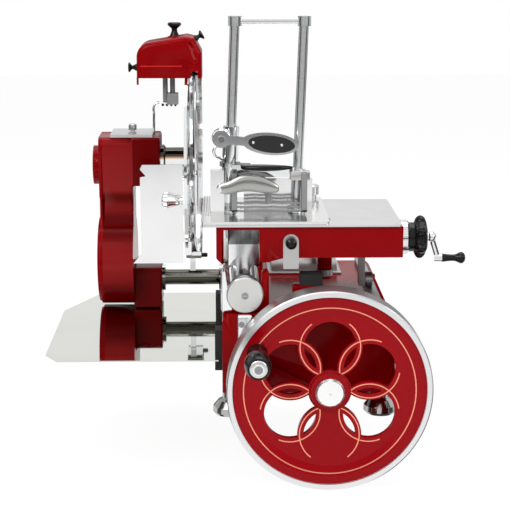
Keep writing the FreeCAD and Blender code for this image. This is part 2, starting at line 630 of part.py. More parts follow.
def make_upright_drive():
    """Upright shaft with two mitre gears and the crank arm that drives the carriage."""
    half_step = 180.0 / size("bevel_teeth")
    low = "wheel_z + bevel_pitch - bevel_face"
    outline = [(0, low), ("shaft_radius", low), ("shaft_radius", "shelf_z + web_thick + 0.3"),
               ("collar_radius", "shelf_z + web_thick + 0.3"),
               ("collar_radius", "drive_z - bevel_pitch"), ("shaft_radius", "drive_z - bevel_pitch"),
               ("shaft_radius", "crank_arm_z + crank_arm_thick"),
               (0, "crank_arm_z + crank_arm_thick")]
    keep("upright_shaft", turned(outline, ("wheel_x", "drive_y", 0)))
    flipped = Rotation(Vector(1, 0, 0), 180)
    keep("upright_gear_low", gear_on_shaft(half_step, ("wheel_x", "drive_y", "wheel_z"), flipped))
    keep("upright_gear_high", gear_on_shaft(0, ("wheel_x", "drive_y", "drive_z"), UPRIGHT))
    boss = rod(("wheel_x", "drive_y", "crank_arm_z"), "crank_boss", "crank_arm_thick")
    eye = rod(("wheel_x", "drive_y - crank_throw", "crank_arm_z"), "crank_eye", "crank_arm_thick")
    arm = box(("wheel_x - crank_eye", "drive_y - crank_throw", "crank_arm_z"), "2 * crank_eye",
              "crank_throw", "crank_arm_thick")
    pin = rod(("wheel_x", "drive_y - crank_throw", "crank_arm_z"), "crank_pin_radius",
              "crank_arm_thick + rod_gap - 2 * side_play - drive_head")
    bore = rod(("wheel_x", "drive_y", "crank_arm_z - 1"), "shaft_radius", "crank_arm_thick + 2")
    keep("crank_arm", cut(join([boss, eye, arm, pin]), [bore]))


def make_connecting_rod():
    """Flat rod from the crank pin to the carriage pin."""
    level = "crank_arm_z + crank_arm_thick + rod_gap"
    rear = "drive_y - crank_throw"
    front = rear + " - rod_length"
    eyes = [rod(("wheel_x", spot, level), "rod_eye", "rod_thick") for spot in (rear, front)]
    bar = box(("wheel_x - rod_width / 2", front, level), "rod_width", "rod_length", "rod_thick")
    bores = [rod(("wheel_x", front, level + " - 1"), "drive_pin_radius + run_fit",
                 "rod_thick + 2"),
             rod(("wheel_x", rear, level + " - 1"), "crank_pin_radius + side_play",
                 "rod_thick + 2")]
    keep("connecting_rod", cut(join(eyes + [bar]), bores))
    head = "drive_pin_radius + 4"
    outline = [(0, level + " - side_play - drive_head"), (head, level + " - side_play - drive_head"),
               (head, level + " - side_play"), ("drive_pin_radius", level + " - side_play"),
               ("drive_pin_radius", level + " + rod_thick + side_play"),
               (head, level + " + rod_thick + side_play"), (head, "carriage_low + pin_socket"),
               (0, "carriage_low + pin_socket")]
    keep("drive_pin", turned(outline, ("wheel_x", front, 0)))


def make_cross_drive():
    """Cross shaft with its mitre gear, and the tie tube that carries the drive case."""
    half_step = 180.0 / size("bevel_teeth")
    right = "wheel_x - bevel_pitch + bevel_face"
    left = "sprocket_x - sprocket_thick / 2 - 3"
    keep("cross_shaft", rod((left, "drive_y", "drive_z"), "shaft_radius", right + " - " + minus(left),
                            ALONG_X))
    keep("cross_gear", gear_on_shaft(half_step, ("wheel_x", "drive_y", "drive_z"), ALONG_X))
    start = "case_right"
    length = "base_left - case_right"
    bore = "shaft_radius + 2"
    outline = [(bore, 0), ("tie_flange_radius", 0), ("tie_flange_radius", "tie_flange_thick"),
               ("tie_tube_radius", "tie_flange_thick"),
               ("tie_tube_radius", length + " - tie_flange_thick"),
               ("tie_flange_radius", length + " - tie_flange_thick"),
               ("tie_flange_radius", length), (bore, length)]
    keep("tie_tube", turned(outline, (start, "drive_y", "drive_z"), ALONG_X))
    keep("cross_bush_outer", tube(("base_left", "drive_y", "drive_z"), "bush_radius",
                                  "shaft_radius + run_fit", "base_wall", ALONG_X))
    keep("cross_bush_case", tube(("case_right - 2 * case_wall", "drive_y", "drive_z"),
                                 "bush_radius", "shaft_radius + run_fit", "2 * case_wall",
                                 ALONG_X))


def minus(text):
    """A formula in brackets."""
    return "(" + text + ")"


def case_outline(inset):
    """Side view of the drive case above its drum, drawn in by a wall."""
    head = "head_half - " + inset
    waist = "waist_half - " + inset
    return [("drive_y - (%s)" % waist, "drum_z"), ("drive_y - (%s)" % waist, "head_low - 12"),
            ("drive_y - (%s)" % head, "head_low + " + inset),
            ("drive_y - (%s)" % head, "head_top - " + inset),
            ("drive_y + (%s)" % head, "head_top - " + inset),
            ("drive_y + (%s)" % head, "head_low + " + inset),
            ("drive_y + (%s)" % waist, "head_low - 12"), ("drive_y + (%s)" % waist, "drum_z")]


def make_drive_case():
    """Cast case for the chain, open on its left side, with its outer blocks and cover."""
    width = "case_step - case_left"
    rounds = {3: "case_round", 4: "case_round"}
    drum = rod(("case_left", "drive_y", "drum_z"), "drum_radius", width, ALONG_X)
    upper = plate(case_outline("0"), width, ("case_left", 0, 0), ALONG_X, rounds)
    head = box(("case_step - 2", "drive_y - head_half", "head_block_low"),
               "case_right - case_step + 2", "2 * head_half", "head_top - head_block_low")
    foot = box(("case_step - 2", "drive_y - foot_block_half", "foot_block_low"),
               "case_right - case_step + 2", "2 * foot_block_half",
               "foot_block_high - foot_block_low")
    hollow_width = width + " - case_wall"
    hollow_drum = rod(("case_left", "drive_y", "drum_z"), "drum_radius - case_wall",
                      hollow_width, ALONG_X)
    hollow = plate(case_outline("case_wall"), hollow_width, ("case_left", 0, 0), ALONG_X)
    low_bore = rod(("case_step - case_wall - 1", "drive_y", "drive_z"), "bush_radius",
                   "case_right - case_step + case_wall + 2", ALONG_X)
    high_bore = rod(("case_step - case_wall - 1", "drive_y", "knife_z"), "bush_radius",
                    "case_right - case_step + case_wall + 2", ALONG_X)
    body = cut(join([drum, upper, head, foot]), [hollow_drum, hollow, low_bore, high_bore])
    keep("drive_case", body)
    cover_drum = rod(("case_left - cover_thick", "drive_y", "drum_z"), "drum_radius",
                     "cover_thick", ALONG_X)
    cover_upper = plate(case_outline("0"), "cover_thick", ("case_left - cover_thick", 0, 0),
                        ALONG_X, rounds)
    high_disc = rod(("case_left - cover_thick - cap_disc_thick", "drive_y", "knife_z"),
                    "cap_disc_radius", "cap_disc_thick + 1", ALONG_X)
    low_disc = rod(("case_left - cover_thick - drum_disc_thick", "drive_y", "drum_z"),
                   "drum_disc_radius", "drum_disc_thick + 1", ALONG_X)
    keep("case_cover", join([cover_drum, cover_upper, high_disc, low_disc]))
    lid = box(("lid_left", "drive_y - lid_half", "head_top"), "lid_right - lid_left",
              "2 * lid_half", "lid_thick")
    keep("case_lid", lid)
    knob = [(0, 0), ("lid_knob_radius * 0.5", 0), ("lid_knob_radius * 0.5", "lid_knob_rise * 0.4"),
            ("lid_knob_radius", "lid_knob_rise * 0.5"), ("lid_knob_radius", "lid_knob_rise * 0.9"),
            ("lid_knob_radius * 0.7", "lid_knob_rise"), (0, "lid_knob_rise")]
    keep("lid_knob", turned(knob, ("lid_knob_x", "drive_y", "head_top + lid_thick")))


def sprocket(teeth, phase):
    """Chain wheel: tooth gaps are cut by the chain's rollers."""
    pitch = size("chain_pitch")
    thick = size("sprocket_thick")
    seat = size("roller_radius") + size("seat_gap")
    circle = pitch / (2 * math.sin(math.pi / teeth))
    disc = Part.makeCylinder(circle + 0.28 * pitch, thick, Vector(0, 0, -thick / 2))
    gaps = []
    for number in range(teeth):
        angle = math.radians(phase + 360.0 * number / teeth)
        inner = Vector(circle * math.cos(angle), circle * math.sin(angle), -thick)
        gaps.append(Part.makeCylinder(seat, 2 * thick, inner))
    bore = Part.makeCylinder(size("shaft_radius"), 2 * thick, Vector(0, 0, -thick))
    return disc.cut(gaps + [bore]), circle


def make_chain_drive():
    """Two chain wheels and the closed chain round them."""
    low_teeth = int(size("low_teeth"))
    high_teeth = int(size("high_teeth"))
    low, low_circle = sprocket(low_teeth, 90.0 / low_teeth * 2)
    high, high_circle = sprocket(high_teeth, 90.0 / high_teeth * 2)
    keep("low_sprocket", shaped(low, ("sprocket_x", "drive_y", "drive_z"), ALONG_X))
    keep("high_sprocket", shaped(high, ("sprocket_x", "drive_y", "knife_z"), ALONG_X))
    half = size("chain_height") / 2
    width = size("chain_width")
    side = (width - size("sprocket_thick")) / 2 - size("side_play")
    outer = loop_outline(low_circle + half, high_circle + half)
    inner = loop_outline(low_circle - half, high_circle - half)
    ring = outer.cut(inner)
    plates = []
    for start in (-width / 2, width / 2 - side):
        band = ring.copy()
        band.translate(Vector(0, 0, start))
        plates.append(band.extrude(Vector(0, 0, side)))
    tip = 0.28 * size("chain_pitch") + size("seat_gap")
    bridge = loop_outline(low_circle + half, high_circle + half)
    bridge = bridge.cut(loop_outline(low_circle + tip, high_circle + tip))
    bridge.translate(Vector(0, 0, -width / 2))
    plates.append(bridge.extrude(Vector(0, 0, width)))
    chain = plates[0].fuse(plates[1:])
    keep("drive_chain", shaped(chain, ("sprocket_x", 0, 0), ALONG_X))


def make_knife():
    """Dished round knife, its shaft, hub and screws, and the tube that carries the shaft."""
    blade = [("knife_shaft_radius", 0), ("knife_dish", 0), ("knife_dish + 6", "1"),
             ("knife_radius - knife_bevel", "1"), ("knife_radius", "knife_thick - 0.8"),
             ("knife_radius", "knife_thick"), ("knife_dish + 6", "knife_thick"),
             ("knife_dish", "knife_thick - 1.5"), ("knife_shaft_radius", "knife_thick - 1.5")]
    disc = turned(blade, ("knife_x", "drive_y", "knife_z"), ALONG_X)
    keep("knife", disc)
    hub = [("knife_shaft_radius", 0), ("knife_hub_radius", 0),
           ("knife_hub_radius", "knife_hub_length"), ("knife_shaft_radius", "knife_hub_length")]
    keep("knife_hub", turned(hub, ("knife_x - knife_hub_length", "drive_y", "knife_z"), ALONG_X))
    left = "sprocket_x - sprocket_thick / 2 - 3"
    right = "knife_x + knife_thick - 1.5"
    shaft = [(0, left), ("shaft_radius", left), ("shaft_radius", "knife_x - knife_hub_length - 1"),
             ("knife_shaft_radius", "knife_x - knife_hub_length - 1"),
             ("knife_shaft_radius", right), (0, right)]
    keep("knife_shaft", turned(shaft, (0, "drive_y", "knife_z"), ALONG_X))
    screws = []
    for number in range(4):
        angle = math.radians(45 + 90 * number)
        across = "drive_y + knife_screw_circle * %.6f" % math.cos(angle)
        upward = "knife_z + knife_screw_circle * %.6f" % math.sin(angle)
        screws.append(rod(("knife_x + knife_thick - 1.5", across, upward), "knife_screw_radius",
                          "knife_screw_head", ALONG_X))
    group = doc.addObject("Part::Compound", "Screws")
    group.Links = screws
    keep("knife_screws", group)
    bore = "bush_radius"
    length = "bearing_tube_right - case_right"
    housing = [(bore, 0), ("bearing_tube_radius + 5", 0), ("bearing_tube_radius + 5", 6),
               ("bearing_tube_radius", 9), ("bearing_tube_radius", length), (bore, length)]
    keep("bearing_tube", turned(housing, ("case_right", "drive_y", "knife_z"), ALONG_X))
    keep("knife_bush_right",
         tube(("bearing_tube_right - knife_bush_length", "drive_y", "knife_z"), "bush_radius",
              "shaft_radius + run_fit", "knife_bush_length", ALONG_X))
    keep("knife_bush_left",
         tube(("case_right - knife_bush_length", "drive_y", "knife_z"), "bush_radius",
              "shaft_radius + run_fit", "knife_bush_length", ALONG_X))


def guard_arm(angle):
    """Flat arm from the guard's hub to its ring, at an angle above +Y."""
    corners = [("(guard_hub_radius - 4)", "-guard_arm / 2"), ("(guard_inner + 3)", "-guard_arm / 2"),
               ("(guard_inner + 3)", "guard_arm / 2"), ("(guard_hub_radius - 4)", "guard_arm / 2")]
    points = [("%s * cos(%d) - %s * sin(%d)" % (reach, angle, aside, angle),
               "%s * sin(%d) + %s * cos(%d)" % (reach, angle, aside, angle))
              for reach, aside in corners]
    return plate(points, "guard_plate", ("guard_left", "drive_y", "knife_z"), ALONG_X)


def make_guard():
    """Ring guard, open where the knife cuts, on a spider that sits on the bearing tube."""
    length = "guard_right - guard_left"
    ring = tube(("guard_left", "drive_y", "knife_z"), "guard_outer", "guard_inner", length,
                ALONG_X)
    hub = tube(("guard_left", "drive_y", "knife_z"), "guard_hub_radius", "bearing_tube_radius",
               "guard_plate", ALONG_X)
    arms = [guard_arm(angle) for angle in (150, 245, 325)]
    reach = size("guard_outer") + 20
    low = reach * math.tan(math.radians(size("guard_gap_low")))
    high = reach / math.tan(math.radians(size("guard_gap_high")))
    wedge = plate([(0, 0), (high, reach), (-reach, reach), (-reach, -low)],
                  length + " - guard_plate + 4", ("guard_left + guard_plate", "drive_y", "knife_z"),
                  ALONG_X)
    top_gap = box(("guard_left - 1", "drive_y - sharp_half_y - 4", "sharp_low - 20"),
                  length + " + 2", "2 * sharp_half_y + 8", "guard_outer + knife_z - sharp_low + 30")
    keep("knife_guard", cut(join([ring, hub] + arms), [wedge, top_gap]))
    strut = box(("guard_left + guard_plate", "drive_y - strut_width / 2",
                 "drive_z + tie_tube_radius - 1"), "strut_width", "strut_width",
                "knife_z - guard_outer - drive_z - tie_tube_radius + 2")
    saddle = rod(("case_right", "drive_y", "drive_z"), "tie_tube_radius",
                 "base_left - case_right", ALONG_X)
    ring_cut = rod(("guard_left", "drive_y", "knife_z"), "guard_outer", length, ALONG_X)
    keep("guard_strut", cut(strut, [saddle, ring_cut]))
    knob = [(0, 0), ("guard_knob_radius", 0), ("guard_knob_radius", "guard_knob_length - 2"),
            ("guard_knob_radius - 1", "guard_knob_length"), (0, "guard_knob_length")]
    keep("guard_knob", turned(knob, ("guard_right", "drive_y", "knife_z - guard_outer + 3.5"),
                              ALONG_X))


def make_deflector():
    """Slice deflector on an upright hinge pin, with its tapered pin handle."""
    block = box(("hinge_x - knuckle_radius + 2", "hinge_y - knuckle_radius",
                 "hinge_low - hinge_block_rise"), "2 * knuckle_radius - 4",
                "drive_y - hinge_y - 70", "hinge_block_rise")
    pin = rod(("hinge_x", "hinge_y", "hinge_low - 1"), "hinge_pin_radius",
              "hinge_high - hinge_low + 1")
    keep("hinge_block", join([block, pin]))
    outline = [("deflector_left", "deflector_low + 16"), ("deflector_left - 14", "deflector_low"),
               ("deflector_right", "deflector_low"), ("deflector_right", "deflector_high"),
               ("deflector_left + 4", "deflector_high"), ("deflector_left", "deflector_high - 8"),
               ("deflector_left + 10", "deflector_high - 20"), ("deflector_left", "deflector_high - 22")]
    sheet_body = plate(outline, "deflector_thick", (0, "deflector_y + deflector_thick", 0), FACING)
    knuckles = []
    for low in ("hinge_low + 0.5", "hinge_high - knuckle_height - 0.5"):
        barrel = rod(("hinge_x", "hinge_y", low), "knuckle_radius", "knuckle_height")
        leaf = box(("deflector_right - 14", "deflector_y + deflector_thick - 0.5", low),
                   "hinge_x - deflector_right + 14", "hinge_y - deflector_y - deflector_thick + 4",
                   "knuckle_height")
        knuckles += [barrel, leaf]
    bore = rod(("hinge_x", "hinge_y", "hinge_low - 2"), "hinge_pin_radius + run_fit",
               "hinge_high - hinge_low + 4")
    keep("deflector", cut(join([sheet_body] + knuckles), [bore]))
    handle = [(0, 0), ("pin_handle_root", 0), ("pin_handle_root", 6),
              ("pin_handle_tip", "pin_handle_length * 0.75"),
              ("pin_handle_tip - 1", "pin_handle_length - 3"),
              ("pin_handle_tip - 5", "pin_handle_length"), (0, "pin_handle_length")]
    leftward = Rotation(Vector(0, 1, 0), -90)
    grip = turned(handle, ("deflector_right + 1", "deflector_y - pin_handle_gap", "pin_handle_z"),
                  leftward)
    neck = rod(("deflector_right - pin_handle_root", "deflector_y + 1", "pin_handle_z"),
               "pin_handle_root - 1", "pin_handle_gap + 1", FACING)
    keep("deflector_handle", join([grip, neck]))


def make_tray():
    """Polished receiving tray and the black hook that holds it to the base."""
    outline = [("tray_left + tray_clip_x", "tray_front"), ("tray_right", "tray_front"),
               ("tray_right", "tray_rear"), ("tray_left + tray_cut_x", "tray_rear"),
               ("tray_left", "tray_rear - tray_cut_y"),
               ("tray_left", "tray_front + tray_clip_y")]
    keep("receiving_tray", plate(outline, "tray_thick", (0, 0, "tray_z")))
    profile = [("base_left + 0", "tray_hook_low"), ("base_left + 0", "tray_hook_high"),
               ("tray_right - 6", "tray_hook_high"), ("tray_right - 6", "tray_z + tray_thick"),
               ("tray_right", "tray_z + tray_thick"), ("tray_right", "tray_z"),
               ("tray_right - 6", "tray_z"), ("tray_right - 6", "tray_hook_low")]
    hooks = []
    for spot in ("tray_hook_y", "tray_hook_rear"):
        hooks.append(plate(profile, "tray_hook_width", (0, "tray_hook_width + " + spot, 0),
                           FACING))
    group = doc.addObject("Part::Compound", "Hooks")
    group.Links = hooks
    keep("tray_hooks", group)


def make_slide_bar():
    """Round slide bar with its end cap and screw, held in two saddles."""
    length = "bar_rear - bar_front"
    keep("slide_bar", rod(("bar_x", "bar_front", "bar_z"), "bar_radius", length, ALONG_Y))
    cap = [(0, 0), ("bar_cap_radius", 0), ("bar_cap_radius", "bar_cap_thick - 2"),
           ("bar_cap_radius - 2", "bar_cap_thick"), (0, "bar_cap_thick")]
    keep("bar_cap", turned(cap, ("bar_x", "bar_front", "bar_z"), FACING))
    screw = [(0, 0), ("bar_screw_radius", 0), ("bar_screw_radius", "bar_screw_rise * 0.5"),
             ("bar_screw_radius - 1.5", "bar_screw_rise"), (0, "bar_screw_rise")]
    keep("bar_screw", turned(screw, ("bar_x", "bar_front - bar_cap_thick", "bar_z"), FACING))
    for name, front in (("saddle_front", "bar_front"), ("saddle_rear", "bar_rear - saddle_depth")):
        half = "(cheek_offset + cheek_thick)"
        block = box(("bar_x - " + half, front, "base_top"), "2 * " + half, "saddle_depth",
                    "bar_z + cheek_rise - base_top")
        gap = box(("bar_x - cheek_offset", front + " - 1", "bar_z"), "2 * cheek_offset",
                  "saddle_depth + 2", "cheek_rise + 1")
        bore = rod(("bar_x", "bar_front - 1", "bar_z"), "bar_radius", length + " + 2", ALONG_Y)
        keep(name, cut(block, [gap, bore]))


def make_carriage():
    """Carriage casting: hollow beam with an arch over the bar, a neck and a pin lug."""
    outline = [("carriage_left", "arch_tooth + carriage_round"),
               ("carriage_left + carriage_round", "arch_tooth"), ("arch_left", "arch_tooth"),
               ("arch_left", "carriage_top - carriage_wall"),
               ("arch_right", "carriage_top - carriage_wall"),
               ("arch_right", "arch_tooth + 2"), ("arch_right + 14", "arch_tooth + 3"),
               ("arch_right + 40", "carriage_low"), ("carriage_right", "carriage_low"),
               ("carriage_right", "carriage_top"), ("carriage_left", "carriage_top")]
    beam = plate(outline, "carriage_rear - carriage_front", (0, "carriage_rear", 0), FACING)
    hollow = box(("arch_right + carriage_wall", "carriage_front + carriage_wall",
                  "arch_tooth - 1"),
                 "carriage_right - arch_right - 2 * carriage_wall",
                 "carriage_rear - carriage_front - 2 * carriage_wall",
                 "carriage_top - carriage_wall - arch_tooth + 1")
    neck = box(("bar_x - neck_half", "neck_front", "bar_z + 6"), "2 * neck_half",
               "sleeve_rear - neck_front - 4", "carriage_top - bar_z - 8")
    pin_y = "(drive_y - crank_throw - rod_length)"
    lug = box(("wheel_x - rib_half_x", pin_y + " - rib_half_y", "carriage_low"),
              "2 * rib_half_x", "2 * rib_half_y", "carriage_top - carriage_low - 2")
    socket = rod(("wheel_x", pin_y, "carriage_low - 1"), "drive_pin_radius + 4", "pin_socket + 1")
    saddle = rod(("bar_x", "sleeve_front", "bar_z"), "bar_radius + run_fit + sleeve_wall",
                 "sleeve_rear - sleeve_front", ALONG_Y)
    slot = box(("nut_left - 2", "feed_y - nut_half - 1", "carriage_top - carriage_wall - 1"),
               "nut_length + table_travel + 4", "2 * nut_half + 2", "carriage_wall + 2")
    bore = rod(("arch_right - 1", "feed_y", "feed_z"), "screw_radius + run_fit",
               "carriage_right - arch_right + 2", ALONG_X)
    latch = rod(("latch_x", "carriage_front + carriage_wall + 1", "latch_knob_z"),
                "latch_pin_radius + run_fit", "carriage_wall + 2", FACING)
    body = join([cut(beam, [hollow]), neck, lug])
    keep("carriage", cut(body, [socket, saddle, slot, bore, latch]))
    keep("bar_sleeve", tube(("bar_x", "sleeve_front", "bar_z"),
                            "bar_radius + run_fit + sleeve_wall", "bar_radius + run_fit",
                            "sleeve_rear - sleeve_front", ALONG_Y))
    corners = [("deck_left", "deck_front"), ("deck_right", "deck_front"),
               ("deck_right", "deck_rear"), ("deck_left", "deck_rear")]
    deck = plate(corners, "deck_thick", (0, 0, "carriage_top"), UPRIGHT,
                 {0: "deck_round", 1: "deck_round", 2: "deck_round", 3: "deck_round"})
    deck_slot = box(("nut_left - 2", "feed_y - nut_half - 1", "carriage_top - 1"),
                    "nut_length + table_travel + 4", "2 * nut_half + 2", "deck_thick + 2")
    keep("deck_plate", cut(deck, [deck_slot]))


def make_latch():
    """Latch plate on the carriage's front with its sprung pull knob."""
    half = "latch_width / 2"
    outline = [("latch_x - " + half, "latch_low"), ("latch_x + " + half, "latch_low"),
               ("latch_x + " + half, "latch_high"), ("latch_x - " + half, "latch_high")]
    keep("latch_plate", plate(outline, "latch_thick", (0, "carriage_front", 0), FACING,
                              {2: "latch_width * 0.49", 3: "latch_width * 0.49"},
                              [("latch_x", "latch_knob_z", "latch_pin_radius + run_fit")]))
    start = "latch_thick + seat_gap"
    knob = [(0, "-carriage_wall - 4"), ("latch_pin_radius", "-carriage_wall - 4"),
            ("latch_pin_radius", start), ("latch_knob_radius * 0.8", start),
            ("latch_knob_radius", start + " + latch_knob_length * 0.35"),
            ("latch_knob_radius * 0.9", start + " + latch_knob_length * 0.8"),
            ("latch_knob_radius * 0.5", start + " + latch_knob_length"),
            (0, start + " + latch_knob_length")]
    keep("latch_knob", turned(knob, ("latch_x", "carriage_front", "latch_knob_z"), FACING))


def make_track_roller():
    """Hanger under the carriage and the roller that runs on the rail."""
    axle_z = "(base_top + rail_rise + track_radius + 0.1)"
    plate_body = box(("hanger_x", "hanger_y - hanger_depth / 2", axle_z + " - 9"),
                     "hanger_thick", "hanger_depth",
                     "carriage_top - carriage_wall + 9 - " + axle_z)
    pin = rod(("hanger_x", "hanger_y", axle_z), "roller_pin_radius",
              "hanger_thick + roller_width + 3", ALONG_X)
    keep("roller_hanger", join([plate_body, pin]))
    keep("track_roller", tube(("hanger_x + hanger_thick + 1", "hanger_y", axle_z),
                              "track_radius", "roller_pin_radius + run_fit", "roller_width",
                              ALONG_X))


def make_feed_end():
    """Chrome end cap, black dial, lobed thickness knob and the feed crank."""
    bore = "screw_radius + run_fit"
    cap = [(bore, 0), ("end_cap_radius", 0), ("end_cap_radius", "end_cap_length - 3"),
           ("end_cap_radius - 3", "end_cap_length"), (bore, "end_cap_length")]
    keep("end_cap", turned(cap, ("carriage_right", "feed_y", "feed_z"), ALONG_X))
    dial_x = "carriage_right + end_cap_length"
    keep("feed_dial", tube((dial_x, "feed_y", "feed_z"), "dial_radius", bore, "dial_length",
                           ALONG_X))
    knob_x = dial_x + " + dial_length + side_play"
    parts = [rod((knob_x, "feed_y", "feed_z"), "knob_core", "knob_length", ALONG_X)]
    count = int(size("lobe_count"))
    for number in range(count):
        angle = 2 * math.pi * (number + 0.5) / count
        across = "feed_y + lobe_circle * %.6f" % math.cos(angle)
        upward = "feed_z + lobe_circle * %.6f" % math.sin(angle)
        parts.append(rod((knob_x, across, upward), "lobe_radius", "knob_length", ALONG_X))
    hole = rod((knob_x + " - 1", "feed_y", "feed_z"), bore, "knob_length + 2", ALONG_X)
    keep("thickness_knob", cut(join(parts), [hole]))
    make_feed_crank(knob_x + " + knob_length + side_play")


def make_feed_crank(hub_x):
    """Feed screw with its ball hub, sloping arm and free-turning grip."""
    screw = rod(("arch_right + 1", "feed_y", "feed_z"), "screw_radius",
                hub_x + " + crank_ball - arch_right - 1", ALONG_X)
    keep("feed_screw", screw)
    centre = Vector(size(hub_x + " + crank_ball"), size("feed_y"), size("feed_z"))
    low = centre + Vector(size("crank_lean"), 0, -size("crank_drop"))
    arm = Part.makeCylinder(size("crank_rod_radius"), (low - centre).Length, centre, low - centre)
    hub = Part.makeSphere(size("crank_ball"), centre)
    end = Part.makeCylinder(size("crank_end_radius"), size("crank_end_length"),
                            low - Vector(size("crank_end_length") / 2, 0, 0), Vector(1, 0, 0))
    tail = size("crank_grip_length") + size("crank_end_length") / 2 + 1
    pin = Part.makeCylinder(size("crank_grip_pin"), tail, low, Vector(1, 0, 0))
    bore = Part.makeCylinder(size("screw_radius"), 4 * size("crank_ball"),
                             centre - Vector(4 * size("crank_ball"), 0, 0), Vector(1, 0, 0))
    crank = hub.fuse([arm, end, pin]).cut(bore)
    keep("feed_crank", shaped(crank))
    stations = [("0", "crank_grip_waist + 1.5"), ("crank_grip_length * 0.35", "crank_grip_waist"),
                ("crank_grip_length * 0.62", "crank_grip_waist + 0.8"),
                ("crank_grip_length * 0.82", "crank_grip_ball"),
                ("crank_grip_length", "crank_grip_ball * 0.55")]
    grip = curved_grip(stations, "crank_grip_pin + run_fit")
    grip_x = hub_x + " + crank_ball + crank_lean + crank_end_length / 2 + seat_gap"
    keep("crank_grip", shaped(grip, (grip_x, "feed_y", "feed_z - crank_drop"), ALONG_X))


def lean_shift(height):
    """How far the leaning rods have moved to the right at a height above the table."""
    return "(%s - carriage_top - deck_thick - table_thick) * tan(rod_lean)" % height


def make_food_table():
    """Food table with its gripping ribs, feed nut, side post, fence and knob."""
    top = "carriage_top + deck_thick + table_thick"
    corners = [("table_left", "table_front"), ("table_right", "table_front"),
               ("table_right", "table_rear"), ("table_left", "table_rear")]
    slab = plate(corners, "table_thick", (0, 0, "carriage_top + deck_thick"), UPRIGHT,
                 {0: "deck_round", 1: "deck_round", 2: "deck_round", 3: "deck_round"})
    ribs = []
    for number in range(int(size("rib_count"))):
        start = "(fish_y + fish_thick + side_post_depth + rib_margin)"
        ribs.append(box(("table_left + 2 + rib_pitch * %d" % number, start, top + " - 0.5"),
                        "rib_width", "table_rear - rib_margin - " + start, "rib_rise + 0.5"))
    keep("food_table", join([slab] + ribs))
    nut = box(("nut_left", "feed_y - nut_half", "feed_z - nut_half - 2"), "nut_length",
              "2 * nut_half", "carriage_top + deck_thick - feed_z + nut_half + 2")
    bore = rod(("nut_left - 1", "feed_y", "feed_z"), "screw_radius + run_fit", "nut_length + 2",
               ALONG_X)
    keep("feed_nut", cut(nut, [bore]))
    keep("fence_plate", box(("fence_left", "fence_y", top), "fence_right - fence_left",
                            "fence_thick", "fence_high - (%s)" % top))
    post = box(("side_post_x - side_post_width / 2", "fish_y + fish_thick", top),
               "side_post_width", "side_post_depth", "side_post_high - (%s)" % top)
    pin = rod(("fish_x", "fish_y + fish_thick + 1", "fish_z"), "fish_pin_radius",
              "fish_thick + 4", FACING)
    keep("side_post", join([post, pin]))
    knob = [(0, 0), ("table_knob_radius * 0.6", 0), ("table_knob_radius * 0.6", 5),
            ("table_knob_radius", 7), ("table_knob_radius", "table_knob_rise - 3"),
            ("table_knob_radius - 3", "table_knob_rise"), (0, "table_knob_rise")]
    keep("table_knob", turned(knob, ("table_knob_x", "table_knob_y", top + " + 0.05")))


def make_rods():
    """Two leaning rods on the table, tied at the top by a bar with end caps."""
    leaning = Rotation(Vector(0, 1, 0), size("rod_lean"))
    top = "(carriage_top + deck_thick + table_thick)"
    length = "(rod_top - rod_cap_height - %s) / cos(rod_lean)" % top
    caps = []
    for name, side in (("clamp_rod_left", "-"), ("clamp_rod_right", "+")):
        start = "clamp_x %s rod_spacing / 2" % side
        outline = [(0, 0.5), ("rod_radius + 5", 0.5), ("rod_radius + 5", 5), ("rod_radius", 6),
                   ("rod_radius", length), (0, length)]
        keep(name, turned(outline, (start, "clamp_y", top), leaning))
        above = start + " + " + lean_shift("rod_top")
        caps.append(rod((above, "clamp_y", "rod_top - rod_cap_height + 0.3"), "rod_cap_radius",
                        "rod_cap_height - 0.3"))
    left = "clamp_x - rod_spacing / 2 + " + lean_shift("rod_top")
    bar = rod((left, "clamp_y", "rod_top - rod_cap_height / 2"), "top_bar_radius",
              "rod_spacing", ALONG_X)
    keep("top_bar", join(caps + [bar]))
    return leaning


def leaning_tube(start, low, high, leaning):
    """Sleeve blank that follows one of the leaning rods."""
    shift = lean_shift(low)
    return rod((start + " + " + shift, "clamp_y", low), "sleeve_radius",
               "(%s - %s) / cos(rod_lean)" % (high, low), leaning)


